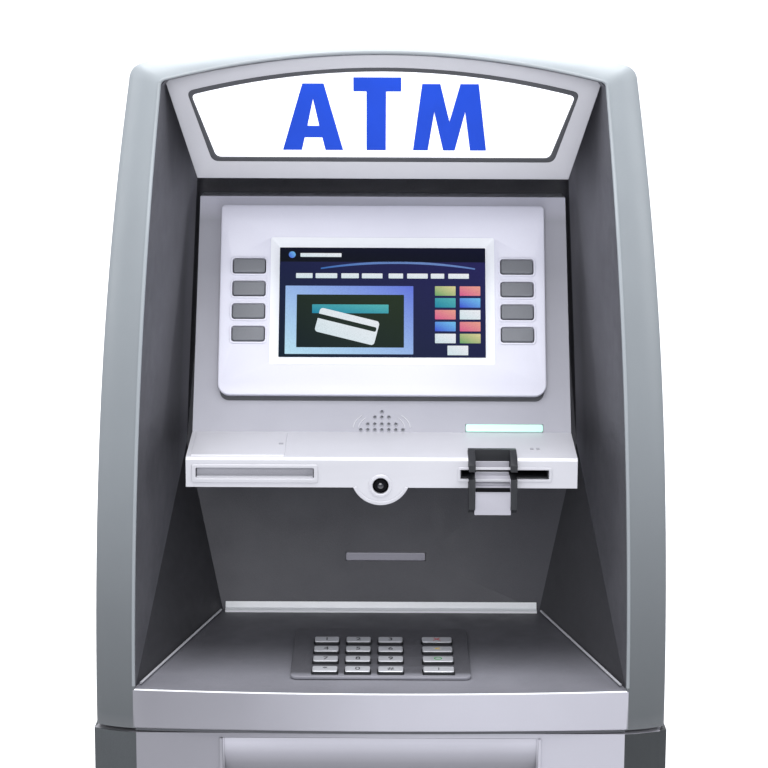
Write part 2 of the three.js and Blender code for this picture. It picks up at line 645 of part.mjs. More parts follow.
// ---------------------------------------------------------------- upper cabinet at the rear
function rearOutline(inset) {
  const points = [[-REAR.half + inset, HOOD_BOTTOM], [REAR.half - inset, HOOD_BOTTOM]];
  points.push([REAR.half - inset, REAR.knee], [REAR.topHalf - inset, REAR.shoulder - inset]);
  const half = REAR.topHalf - 8 - inset;
  for (let i = 0; i <= 6; i += 1) {
    const t = 1 - i / 3;
    points.push([half * t, REAR.top - inset - 16 * t * t]);
  }
  points.push([-REAR.topHalf + inset, REAR.shoulder - inset], [-REAR.half + inset, REAR.knee]);
  return outline(points);
}

function rearHousing(group) {
  const cut = [inward(rearOutline(REAR.sheet), REAR.front - 5, MACHINE_REAR - REAR.sheet)];
  cut.push(box(-REAR.half + REAR.sheet, REAR.half - REAR.sheet, REAR.front - 5, MACHINE_REAR - REAR.sheet,
    HOOD_BOTTOM - 5, HOOD_BOTTOM + 5));
  for (const x of [-110, 0]) {
    for (let i = 0; i < 7; i += 1) {
      const z = 1270 + 12 * i;
      cut.push(box(x - 42, x + 42, MACHINE_REAR - 6, MACHINE_REAR + 6, z - 2.5, z + 2.5));
    }
  }
  cut.push(rodY(FAN.radius + 2, MACHINE_REAR - 6, MACHINE_REAR + 6, FAN.x, FAN.z, 24));
  cut.push(box(INLET.x - 14, INLET.x + 14, MACHINE_REAR - 6, MACHINE_REAR + 6, INLET.z - 10, INLET.z + 10));
  const shell = combine(inward(rearOutline(0), REAR.front, MACHINE_REAR), { cut });
  const keeper = box(172, REAR.half - 1, KEEPER.y, KEEPER.y + 3, KEEPER.low, KEEPER.high);
  group.add(piece('rear_housing', 'paint', combine(shell, { add: [keeper] })));
}

function fanRotor(group) {
  const y = MACHINE_REAR - 20;
  const hub = rodY(13, y - 9, y + 9, FAN.x, FAN.z, 16);
  const blades = [];
  for (let i = 0; i < FAN.blades; i += 1) {
    const blade = new THREE.BoxGeometry(13, 1.6, FAN.radius - 12).rotateZ(0.55).translate(0, 0, (FAN.radius + 10) / 2);
    blades.push(blade.rotateY(2 * Math.PI * i / FAN.blades).translate(FAN.x, y, FAN.z));
  }
  group.add(piece('fan_rotor', 'black', combine(hub, { add: blades })));
}

function hollowBox(x0, x1, y0, y1, z0, z1, wall) {
  return combine(box(x0, x1, y0, y1, z0, z1), {
    cut: [box(x0 + wall, x1 - wall, y0 + wall, y1 - wall, z0 + wall, z1 - wall),
      box((x0 + x1) / 2 - 15, (x0 + x1) / 2 + 15, y0 - 1, y0 + wall + 1, z0 + 15, z0 + 30)],
  });
}

function electronics(group) {
  group.add(piece('controller_unit', 'zinc', hollowBox(-170, 40, 300, 500, 935.4, 1085, 1.5)));
  group.add(piece('power_supply', 'zinc', hollowBox(70, 170, 380, 526, 935.4, 1020, 1.5)));
  const flange = box(INLET.x - 25, INLET.x + 25, MACHINE_REAR - 5, MACHINE_REAR - 2.3, INLET.z - 14, INLET.z + 14);
  const throat = box(INLET.x - 13.5, INLET.x + 13.5, MACHINE_REAR - 22, MACHINE_REAR, INLET.z - 9.5, INLET.z + 9.5);
  const socket = box(INLET.x - 11, INLET.x + 11, MACHINE_REAR - 18, MACHINE_REAR + 1, INLET.z - 7, INLET.z + 7);
  const pins = [-6, 0, 6].map((dx) => box(INLET.x + dx - 0.8, INLET.x + dx + 0.8, MACHINE_REAR - 20,
    MACHINE_REAR - 4, INLET.z - 2.5, INLET.z + 2.5));
  const housing = combine(flange, { add: [throat], cut: [socket] });
  group.add(piece('power_inlet', 'black', combine(housing, { add: pins })));
}

function fasciaHinge(group) {
  const web = box(-203.5, -199.5, 268.6, 298, 960, 1190);
  const leaf = box(-199.8, -196.3, 272, 298, 960, 1190);
  const knuckle = rodZ(3.7, 960, 1190, -203.6, 270, 12);
  const notch = box(-208, -199.8, 274, 300, 950, 1200);
  group.add(piece('fascia_hinge', 'zinc', combine(knuckle, { add: [web, leaf], cut: [notch] })));
}

// ---------------------------------------------------------------- lower cabinet
function plinth(group) {
  const pan = combine(box(-190, 190, 40, 540, 0, SAFE.bottom - FIT), {
    cut: [box(-187, 187, 43, 537, 3, 60)],
  });
  const anchors = [[-140, 110], [140, 110], [-140, 470], [140, 470]];
  group.add(piece('plinth', 'black', combine(pan, {
    cut: anchors.map(([x, y]) => rodZ(8, -2, 6, x, y, 12)),
  })));
}

function safeBody(group) {
  const { half, front, bottom, wall, flange } = SAFE;
  const inside = box(-half + wall, half - wall, front + wall, MACHINE_REAR - wall, bottom + wall, CABINET_TOP - wall);
  const doorway = box(-half + wall + flange, half - wall - flange, front - 5, front + wall + 1,
    bottom + wall + flange, CABINET_TOP - wall - flange);
  const anchors = [[-140, 110], [140, 110], [-140, 470], [140, 470]];
  const cableHole = rodZ(20, CABINET_TOP - 10, CABINET_TOP + 5, 130, 345, 16);
  const shell = combine(box(-half, half, front, MACHINE_REAR, bottom, CABINET_TOP), {
    cut: [inside, doorway, cableHole, ...anchors.map(([x, y]) => rodZ(8, 30, 50, x, y, 12))],
  });
  const shelf = box(-half + wall - 1, half - wall + 1, 85, MACHINE_REAR - wall + 1, SAFE_SHELF - 4, SAFE_SHELF);
  group.add(piece('safe_body', 'paint', combine(shell, { add: [shelf] })));
}

function safeDoor(group) {
  group.add(piece('safe_door', 'paint', combine(box(-DOOR.half, DOOR.half, DOOR.front, DOOR.rear, DOOR.bottom, DOOR.top), {
    cut: [
      box(-MOUTH.half - 2, MOUTH.half + 2, 40, 60, MOUTH.low - 2, MOUTH.high + 2),
      rodY(5.4, 40, 60, DIAL.x, DIAL.z, 16),
      rodY(6.4, 40, 60, HANDLE.x, HANDLE.z, 16),
    ],
  })));
}

function coverSection(inset) {
  const right = [[COVER.half - inset * 0.6, inset]];
  for (const t of [0.25, 0.5, 0.75, 1]) {
    const over = 0.5 * t + 0.5 * Math.sin(t * Math.PI / 2);
    const back = 0.5 * t + 0.5 * (1 - Math.cos(t * Math.PI / 2));
    right.push([lerp(COVER.half, COVER.wide, over) - inset, BAND_DEPTH * back + inset * 0.4]);
  }
  right.push([COVER.wide - inset, 38], [COVER.tail - inset, COVER.rear + (inset ? 10 : 0)]);
  const left = right.map(([x, y]) => [-x, y]).reverse();
  return outline([...left, ...right]);
}

function doorCover(group) {
  const shell = combine(upright(coverSection(0), COVER.bottom, CABINET_TOP - 0.2), {
    cut: [upright(coverSection(SKIN), COVER.bottom + SKIN, CABINET_TOP - SKIN)],
  });
  const w = LOCK_WINDOW;
  const pocket = box(w.left - SKIN, w.right + SKIN, 1, COVER.rear, w.low - SKIN, w.high + SKIN);
  group.add(piece('door_cover', 'silver', combine(shell, {
    add: [pocket],
    cut: [
      box(w.left, w.right, -10, 60, w.low, w.high),
      box(-TRAY.half - FIT, TRAY.half + FIT, -10, 60, TRAY.bottom - FIT, TRAY.top + FIT),
    ],
  })));
}

// Side view of the cash tray's bowl: the roof curves in from the front face, the floor curves back out.
function trayProfile() {
  const roof = [];
  const floor = [];
  for (let i = 0; i <= 8; i += 1) {
    const angle = i / 8 * Math.PI / 2;
    const depth = TRAY.depth - TRAY.wall - 1;
    roof.push([depth * (1 - Math.cos(angle)), TRAY.top - TRAY.wall - 48 * Math.sin(angle)]);
    floor.push([depth * (1 - Math.cos(angle)), TRAY.bottom + TRAY.wall + 42 * Math.sin(angle)]);
  }
  return outline([[-5, TRAY.bottom + TRAY.wall], ...floor, ...roof.reverse(), [-5, TRAY.top - TRAY.wall]]);
}

function cashTray(group) {
  group.add(piece('cash_tray', 'pale', combine(box(-TRAY.half, TRAY.half, 0.2, TRAY.depth, TRAY.bottom, TRAY.top), {
    cut: [
      across(trayProfile(), -TRAY.half + TRAY.wall, TRAY.half - TRAY.wall),
      box(-MOUTH.half - 1, MOUTH.half + 1, 30, 60, MOUTH.low - 1, MOUTH.high + 1),
    ],
  })));
  const flap = box(-MOUTH.half, MOUTH.half, 41.5, 43.5, MOUTH.low, MOUTH.high - 1.6);
  const knuckle = rodX(1.4, -MOUTH.half, MOUTH.half, 42.5, MOUTH.high - 1.6, 10);
  group.add(piece('cash_flap', 'dark', combine(flap, { add: [knuckle] })));
}

function dialAndHandle(group) {
  const dialProfile = [[0, 20], [16, 20], [17, 22], [17, 33], [26, 35], [33, 40], [33, 46], [5, 46], [5, 60], [0, 60]];
  group.add(piece('lock_dial', 'black', turned(dialProfile, 28).translate(DIAL.x, 0, DIAL.z)));
  const hub = rodY(15, 30, 46.5, HANDLE.x, HANDLE.z, 24);
  const shaft = rodY(6, 40, 62, HANDLE.x, HANDLE.z, 16);
  const lever = across(outline([[18, -9], [27, -9], [31, 0], [27, 9], [18, 9], [14, 0]]), -HANDLE.lever, 6)
    .translate(HANDLE.x, 6, HANDLE.z);
  group.add(piece('safe_handle', 'steel', combine(hub, { add: [shaft, lever] })));
}

function boltBar(group) {
  const bar = box(146, 158, 68, 82, 250, 760);
  const bolts = [290, 505, 720].map((z) => rodX(8, 150, 178, 75, z, 16));
  group.add(piece('bolt_bar', 'steel', combine(bar, { add: bolts })));
}

function safeHinge(group) {
  const rod = rodZ(3.5, 80, 900, -204, SAFE.front - 1, 12);
  const leaf = box(-201.8, -198.3, SAFE.front - 1, 84, 80, 900);
  group.add(piece('safe_hinge', 'zinc', combine(rod, { add: [leaf] })));
}

function dispenser(group) {
  const { half, front, rear, top, sheet, bay } = RACK;
  const frame = combine(box(-half, half, front, rear, SAFE_SHELF + FIT, top), {
    cut: [
      box(-half + sheet, half - sheet, front - 5, rear + 5, SAFE_SHELF + FIT + sheet, bay - sheet),
      box(-half + sheet, half - sheet, front - 5, rear + 5, bay, top - sheet),
    ],
  });
  const nose = combine(box(-MOUTH.half - 8, MOUTH.half + 8, 66, 150, MOUTH.low - 10, MOUTH.high + 12), {
    cut: [box(-MOUTH.half, MOUTH.half, 60, 160, MOUTH.low + 3, MOUTH.high - 3)],
  });
  const arms = [[-half + 1, -MOUTH.half - 4], [MOUTH.half + 4, half - 1]].map(([a, b]) =>
    box(a, b, 120, 130, MOUTH.low - 4, MOUTH.high + 6));
  group.add(piece('dispenser', 'zinc', combine(frame, { add: [nose, ...arms] })));
}

function cassette(group) {
  const { half, front, rear, low, high } = CASSETTE;
  const shell = combine(box(-half, half, front, rear, low, high), {
    cut: [box(-half + 3, half - 3, front + 3, rear - 3, low + 3, high - 3),
      box(-80, 80, rear - 10, rear + 5, low + 30, high - 30)],
  });
  const handle = combine(box(-60, 60, front - 22, front + 1, 560, 580), {
    cut: [box(-50, 50, front - 12, front - 1, 550, 590)],
  });
  group.add(piece('cash_cassette', 'black', combine(shell, { add: [handle] })));
}

// ---------------------------------------------------------------- assembly
const machine = new THREE.Group();
machine.position.y = -(MACHINE_REAR - LIP_BOW) / 2;
machine.add(hoodShell(), recessLiner(), fascia(), keypad());
const builders = [
  header, displayPod, cardReader, receiptPrinter, cameraModule, cashLamp, fasciaLock, rearHousing, fanRotor,
  electronics, fasciaHinge, plinth, safeBody, safeDoor, doorCover, cashTray, dialAndHandle, boltBar,
  safeHinge, dispenser, cassette,
];
for (const build of builders) build(machine);

const group = new THREE.Group();
group.add(machine);

export default group;
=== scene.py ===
# The looks of a free-standing retail cash machine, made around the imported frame.
import json
from math import atan, atan2, cos, degrees, hypot, pi, radians, sin, sqrt
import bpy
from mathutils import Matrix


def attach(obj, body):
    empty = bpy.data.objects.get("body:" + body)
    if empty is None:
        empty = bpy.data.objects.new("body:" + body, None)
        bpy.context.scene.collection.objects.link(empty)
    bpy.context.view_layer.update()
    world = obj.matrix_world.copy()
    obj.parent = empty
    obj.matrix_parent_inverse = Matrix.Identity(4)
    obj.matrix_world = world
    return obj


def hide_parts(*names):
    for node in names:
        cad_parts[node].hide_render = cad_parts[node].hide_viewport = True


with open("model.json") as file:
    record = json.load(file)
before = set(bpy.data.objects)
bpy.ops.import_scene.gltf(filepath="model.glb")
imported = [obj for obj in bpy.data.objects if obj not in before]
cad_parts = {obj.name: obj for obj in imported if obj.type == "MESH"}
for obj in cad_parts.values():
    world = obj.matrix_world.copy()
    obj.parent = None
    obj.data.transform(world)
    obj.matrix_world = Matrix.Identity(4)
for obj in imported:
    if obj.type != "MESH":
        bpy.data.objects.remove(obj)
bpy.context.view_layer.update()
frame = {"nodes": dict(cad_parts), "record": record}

from types import SimpleNamespace as Sizes

import bmesh
import bpy
from mathutils import Matrix, Vector

RECORD = frame["record"]

# --- spaces, all in millimetres
# Depth is 0 at the front plane and grows towards the rear; the machine's own origin lies at depth MIDDLE.
MM = 0.001
MIDDLE = 271.0
MACHINE = Matrix.Diagonal((MM, MM, MM, 1)) @ Matrix.Translation((0, -MIDDLE, 0))


def tilted(depth, z, tilt):
    """A face's own space: Z up the face, -Y off it, tilted by so many degrees about X."""
    return MACHINE @ Matrix.Translation((0, depth, z)) @ Matrix.Rotation(radians(tilt), 4, "X")


# The opening and the outside of the hood. The hood's sides follow the photo, up to 3 mm inside the CAD's.
OPENING = Sizes(half=177, z=967.3, narrowing=21.3, rise=433, power=1.7)
OPENING_TOP = Sizes(z=1419.4, radius=637)
OPENING_CORNER = Sizes(half=152, shoulder=1397, corner=(155.8, 1400))
HOOD = Sizes(half=206, z=950, radius=3770, bottom=938, rear=268, shoulder=1400)
HOOD_TOP = Sizes(z=1436, radius=622)
HOOD_CORNER = Sizes(half=171, corner=(178.9, 1409.2))
HOOD_TAIL = Sizes(start=238, inset=9)
LEAN = Sizes(start=1150, end=1419, back=35)
BAND_DEPTH = 11
LIP_BOW = 9
LIP_TOP = 966
SKIN = 3

DECK_REAR = Sizes(half=126.2, y=175, z=977.5)
BEZEL = Sizes(half=122.2, low=26.6, high=174.7, proud=5)
SCREEN = Sizes(half=77.6, low=56.9, high=142.4)
SIDE_KEY = Sizes(left=-100.2, right=101.1, wide=23.8, tall=10.7, proud=1.6, deep=10.9)
KEY_ROWS = (126.2, 108.5, 90.9, 73.4)
SPEAKER_ROWS = ((15.4, 1), (11.3, 3), (6, 5), (1.7, 7))
SPEAKER_PITCH = 5.2
CARD = Sizes(left=56.6, right=120, low=1119.6, high=1125.2)
THROAT = Sizes(left=62.3, right=97, cheek=4.8, back=32)
RECEIPT = Sizes(left=-134, right=-48, low=1117.6, high=1126.7)
LENS = Sizes(x=-0.7, z=1113.2, boss_z=1120.7, boss=21.2)
SIGN = Sizes(low=13.7, low_half=122.9, high=68.3, high_half=139, peak=87)
PIN_PLATE = Sizes(half=66, front=20, rear=125, proud=2.5)
PIN_ROWS = (93.5, 72.9, 51.8, 30.4)
PIN_COLUMNS = ((-41, 18.5), (-17, 18.5), (7.3, 18.5), (42.5, 22.7))
PIN_KEY = Sizes(deep=11.5, top=5, bottom=-1.5)
PIN_SIGNS = ("123X", "456<", "789O", "*0#i")
LAMP = Sizes(left=-28, right=35, low=40.2, high=46.6)
TRAY = Sizes(half=115.2, bottom=798, top=931, depth=44)
REAR_PANEL = 551
FAN = Sizes(x=110, z=1310, screws=36)
DIAL = Sizes(x=105, z=590, rim=31.5)
LOCK_WINDOW = Sizes(left=45, right=165, low=410, high=650)

FASCIA = tilted(78, 1141.3, -23.15)
HEADER_Z, HEADER_TILT = 1329.6, 23.05
HEADER = tilted(76, HEADER_Z, HEADER_TILT)
WALL = tilted(DECK_REAR.y, DECK_REAR.z, -degrees(atan(10 / 134.5)))
DECK = tilted(0, OPENING.z, degrees(atan((DECK_REAR.z - OPENING.z) / DECK_REAR.y)))

BODY_OF = {n: body for body, nodes in RECORD["behaviour"]["bodies"].items() for n in nodes}


# --- materials
class Finish:
    """One procedural material: a Principled shader and short calls for the nodes around it."""

    def __init__(self, name, rough, metal=0.0, coat=0.0, specular=0.5):
        self.material = bpy.data.materials.new(name)
        self.material.use_nodes = True
        self.tree = self.material.node_tree
        self.shader = self.tree.nodes["Principled BSDF"]
        self.feed(self.shader, {"Metallic": metal, "Roughness": rough, "Coat Weight": coat,
                                "Coat Roughness": 0.15, "Specular IOR Level": specular})
        self.place = self.node("ShaderNodeTexCoord")["Object"]

    def feed(self, node, inputs):
        """Sets a node's inputs, or joins them where the value is another node's output."""
        for key, value in inputs.items():
            socket = node.inputs[key]
            if isinstance(value, bpy.types.NodeSocket):
                self.tree.links.new(value, socket)
            elif socket.type == "RGBA":
                socket.default_value = (*value, 1)
            else:
                socket.default_value = value

    def node(self, kind, inputs=None, **settings):
        """Makes a node and gives back its outputs."""
        made = self.tree.nodes.new(kind)
        for key, value in settings.items():
            setattr(made, key, value)
        self.feed(made, inputs or {})
        return made.outputs

    def stretched(self, scale):
        return self.node("ShaderNodeMapping", {"Scale": scale, "Vector": self.place})["Vector"]

    def noise(self, scale, detail=2.0, place=None):
        inputs = {"Scale": scale, "Detail": detail, "Vector": place or self.place}
        return self.node("ShaderNodeTexNoise", inputs)["Fac"]

    def cells(self, scale, feature="F1"):
        return self.node("ShaderNodeTexVoronoi", {"Scale": scale, "Vector": self.place}, feature=feature)

    def along(self, axis, stops):
        """The colour at each place along an axis, from (place in metres, colour) stops."""
        low, high = stops[0][0], stops[-1][0]
        parts = self.node("ShaderNodeSeparateXYZ", {"Vector": self.place})
        ramp = self.tree.nodes.new("ShaderNodeValToRGB")
        self.feed(ramp, {"Fac": self.span(parts[axis], 0, 1, low, high)})
        ends = ramp.color_ramp.elements
        ends[0].color = (*stops[0][1], 1)
        ends[1].color = (*stops[-1][1], 1)
        for place, colour in stops[1:-1]:
            ends.new((place - low) / (high - low)).color = (*colour, 1)
        return ramp.outputs["Color"]

    def span(self, value, low, high, source_low=0.3, source_high=0.7):
        """A value carried from its source range over to the range from low to high."""
        ends = {"From Min": source_low, "From Max": source_high, "To Min": low, "To Max": high}
        return self.node("ShaderNodeMapRange", {"Value": value, **ends})["Result"]

    def blend(self, amount, first, second):
        inputs = {"Factor": amount, "A": first, "B": second}
        return self.node("ShaderNodeMix", inputs, data_type="RGBA")["Result"]

    def shades(self, amount, colour, low, high):
        """One colour, darker where the amount is 0 and lighter where it is 1."""
        return self.blend(amount, scaled(colour, low), scaled(colour, high))

    def tinted(self, tone, pattern, around):
        """A tone carrying the light and dark of a pattern that was made around one colour."""
        level = 0.2126 * around[0] + 0.7152 * around[1] + 0.0722 * around[2]
        value = self.node("ShaderNodeRGBToBW", {"Color": pattern})["Val"]
        grey = self.node("ShaderNodeMath", {0: value, 1: level}, operation="DIVIDE")["Value"]
        return self.node("ShaderNodeVectorMath", {0: tone, "Scale": grey}, operation="SCALE")["Vector"]

    def worn(self, amount):
        """From 0 up to the amount where the surface turns a sharp corner outwards."""
        return self.span(self.node("ShaderNodeNewGeometry")["Pointiness"], 0.0, amount, 0.52, 0.6)

    def colour(self, source):
        self.feed(self.shader, {"Base Color": source})

    def roughness(self, source):
        self.feed(self.shader, {"Roughness": source})

    def bump(self, height, strength, distance=0.0004):
        inputs = {"Strength": strength, "Distance": distance, "Height": height}
        self.feed(self.shader, {"Normal": self.node("ShaderNodeBump", inputs)["Normal"]})

    def glow(self, source, strength):
        self.feed(self.shader, {"Emission Color": source, "Emission Strength": strength})


def scaled(colour, k):
    return tuple(min(c * k, 1.0) for c in colour)


def moulding(name, colour, rough, metal=0.0, coat=0.0, depth=0.06, wear=0.12, fade=None):
    """Moulded or painted skin: faint clouding, orange peel, and rubbed lighter edges.

    The last argument, if given, is (axis, stops): painted light and shade, the colour made lighter or darker
    along that axis.
    """
    skin = Finish(name, rough, metal, coat)
    base = skin.shades(skin.span(skin.noise(9, 4), 0, 1), colour, 0.95, 1.05)
    fleck = skin.shades(skin.span(skin.noise(5200, 1), 0, 1, 0.35, 0.65), colour, 0.9, 1.1)
    mixed = skin.blend(skin.span(skin.noise(30), 0.25, 0.5), base, fleck)
    if fade:
        mixed = skin.tinted(skin.along(*fade), mixed, colour)
    skin.colour(skin.blend(skin.worn(wear), mixed, scaled(colour, 1.5)))
    skin.roughness(skin.span(skin.noise(45, 3), rough - 0.05, rough + 0.06))
    skin.bump(skin.noise(1400, 2), depth)
    return skin


def textured(name, colour, rough, scale=1500, depth=0.35, specular=0.5, fade=None):
    """Spark-eroded plastic or powder coat: a pebbled surface with dust-grey high spots."""
    skin = Finish(name, rough, specular=specular)
    pebble = skin.cells(scale, "SMOOTH_F1")["Distance"]
    base = skin.shades(skin.span(skin.noise(14, 5), 0, 1), colour, 0.88, 1.12)
    base = skin.blend(skin.span(pebble, 0.0, 0.35, 0.1, 0.6), base, scaled(colour, 1.35))
    # Painted light and shade, if given: the colour made lighter or darker along an axis.
    if fade:
        base = skin.tinted(skin.along(*fade), base, colour)
    skin.colour(base)
    skin.roughness(skin.span(skin.noise(60, 3), rough - 0.07, rough + 0.07))
    skin.bump(pebble, depth, 0.0003)
    return skin


def brushed(name, colour, rough, metal=1.0, stretch=(120, 9000, 9000)):
    """Bare metal with fine lines, along X unless stretched another way."""
    skin = Finish(name, rough, metal)
    lines = skin.noise(1, 3, skin.stretched(stretch))
    skin.colour(skin.shades(skin.span(lines, 0, 1), colour, 0.86, 1.1))
    skin.roughness(skin.span(lines, rough - 0.06, rough + 0.1))
    skin.bump(lines, 0.12, 0.0002)
    return skin


def galvanised(name, colour):
    """Zinc sheet with its spangle."""
    skin = Finish(name, 0.4, 0.9)
    spangle = skin.cells(160)
    grey = skin.span(skin.noise(1, 0, spangle["Position"]), 0, 1)
    skin.colour(skin.shades(grey, colour, 0.8, 1.15))
    skin.roughness(skin.span(spangle["Color"], 0.3, 0.5, 0, 1))
    skin.bump(skin.noise(900), 0.05)
    return skin


def lit(name, colour, strength, rough=0.3, falloff=0.9, coat=0.4, specular=0.5):
    """A lens or panel that glows, a little unevenly."""
    skin = Finish(name, rough, coat=coat, specular=specular)
    cloud = skin.blend(skin.span(skin.noise(25, 2), 0, 1), scaled(colour, falloff), colour)
    skin.colour(cloud)
    skin.glow(cloud, strength)
    skin.bump(skin.noise(900), 0.03)
    return skin


def display(name, low_left, top_right):
    """A part of the picture on the screen: two colours blended across it, with a faint pixel grid."""
    skin = Finish(name, 0.35, specular=0.04)
    place = skin.node("ShaderNodeSeparateXYZ", {"Vector": skin.node("ShaderNodeTexCoord")["Generated"]})
    across = skin.node("ShaderNodeMath", {0: place["X"], 1: place["Z"]}, operation="ADD")["Value"]
    picture = skin.blend(skin.span(across, 0, 1, 0, 2), low_left, top_right)
    grid = skin.span(skin.cells(2600)["Distance"], 0, 0.25, 0.2, 0.8)
    skin.colour((0.004, 0.005, 0.008))
    skin.glow(skin.blend(grid, picture, (0, 0, 0)), 1.0)
    return skin


def fibrous(name):
    """Paper: faint fibres, and the fine edges of the roll's turns."""
    skin = Finish(name, 0.85)
    fibre = skin.span(skin.noise(700, 6), 0, 1)
    skin.colour(skin.blend(fibre, (0.8, 0.79, 0.74), (0.93, 0.92, 0.88)))
    turns = skin.node("ShaderNodeTexWave", {"Scale": 1400, "Vector": skin.place}, wave_type="RINGS",
                      rings_direction="X")
    skin.bump(turns["Fac"], 0.15)
    return skin


# Finishes that carry the name of a slot: name -> (the function that makes it, its settings).
LOOKS = {
    "silver_moulding": (moulding, (0.37, 0.365, 0.41), 0.45, 0.2, 0.1),
    "pale_moulding": (moulding, (0.47, 0.47, 0.505), 0.45, 0.1, 0.1),
    "white_moulding": (moulding, (0.86, 0.88, 0.92), 0.4, 0.0, 0.15),
    "grey_liner": (textured, (0.088, 0.088, 0.1), 0.55),
    "sign_acrylic": (lit, (0.95, 0.96, 1.0), 0.75, 0.3, 0.94),
    "screen_glass": (moulding, (0.012, 0.014, 0.022), 0.12, 0.0, 1.0, 0.0),
    "grey_keycap": (textured, (0.155, 0.162, 0.18), 0.5, 1900, 0.2),
    "metal_keycap": (brushed, (0.62, 0.63, 0.67), 0.4, 0.35),
    "black_plastic": (textured, (0.016, 0.017, 0.02), 0.46, 1800, 0.25, 0.3),
    "lit_lens": (lit, (0.52, 0.88, 0.76), 0.3),
    "unlit_lens": (moulding, (0.36, 0.35, 0.41), 0.3, 0.0, 0.4, 0.02),
    "bright_steel": (brushed, (0.56, 0.57, 0.6), 0.28, 1.0, (9000, 9000, 150)),
    "painted_steel": (textured, (0.13, 0.135, 0.15), 0.48, 900, 0.3),
    "zinc_sheet": (galvanised, (0.5, 0.52, 0.55)),
    "paper": (fibrous,),
    "black_steel": (textured, (0.02, 0.021, 0.024), 0.5, 700, 0.3),
    "rubber": (textured, (0.02, 0.02, 0.021), 0.75, 2500, 0.25),
}
FINISHES = {name: make(name, *settings) for name, (make, *settings) in LOOKS.items()}
SLOT_OF = {entry["node"]: entry["material_slot"] for entry in RECORD["subparts"]}

# Finishes of small pieces that have no slot of their own: name -> (the slot they come from, maker, settings).
SMALL_LOOKS = {
    # Painted shade: a darker copy of the liner's finish for the recess's facets.
    "liner_facet": ("grey_liner", textured, (0.03, 0.03, 0.035), 0.6),
    "grille_cloth": ("black_plastic", textured, (0.3, 0.3, 0.33), 0.9, 2600, 0.2),
    "sign_blue": ("sign_acrylic", lit, (0.012, 0.07, 0.6), 0.02, 0.45, 0.9, 0.0, 0.15),
    # Dark rubber for the sign's gasket; also used for the painted shadows under the bezel and under the lip.
    "gasket": ("rubber", textured, (0.05, 0.052, 0.06), 0.6),
    "legend": ("black_plastic", textured, (0.03, 0.032, 0.04), 0.5, 2500, 0.1),
    "legend_black": ("black_plastic", textured, (0.004, 0.004, 0.005), 0.7, 1500, 0.35, 0.05),
    "legend_red": ("black_plastic", moulding, (0.5, 0.03, 0.03), 0.4),
    "legend_yellow": ("black_plastic", moulding, (0.7, 0.45, 0.03), 0.4),
    "legend_green": ("black_plastic", moulding, (0.03, 0.32, 0.07), 0.4),
    "board_green": ("black_plastic", moulding, (0.02, 0.14, 0.06), 0.35, 0.0, 0.6),
    "brass": ("bright_steel", brushed, (0.7, 0.5, 0.2), 0.3),
    "lens_glass": ("black_plastic", moulding, (0.01, 0.01, 0.016), 0.05, 0.0, 1.0, 0.0),
    "led_white": ("lit_lens", lit, (0.95, 0.97, 1.0), 1.5),
}
EXTRAS = {name: (make(name, *settings), slot) for name, (slot, make, *settings) in SMALL_LOOKS.items()}

# The glow of each part of the picture on the screen, at its lower left and its upper right.
PICTURE_LOOKS = {
    "back": ((0.002, 0.012, 0.022), (0.022, 0.018, 0.11)),
    "black": ((0.001, 0.002, 0.004), (0.004, 0.004, 0.02)),
    "swoosh": ((0.04, 0.16, 0.5), (0.2, 0.3, 0.6)),
    "frame": ((0.55, 0.85, 1.0), (0.14, 0.2, 0.8)),
    "scene": ((0.004, 0.012, 0.012), (0.02, 0.035, 0.012)),
    "light": ((0.7, 0.85, 0.9), (0.95, 0.95, 1.0)),
    "teal": ((0.01, 0.25, 0.4), (0.1, 0.5, 0.5)),
    "rose": ((0.75, 0.12, 0.3), (0.9, 0.4, 0.3)),
    "blue": ((0.05, 0.08, 0.7), (0.2, 0.6, 0.95)),
    "leaf": ((0.15, 0.4, 0.15), (0.8, 0.7, 0.35)),
}
for name, glows in PICTURE_LOOKS.items():
    EXTRAS["screen_" + name] = (display("screen_" + name, *glows), "screen_glass")
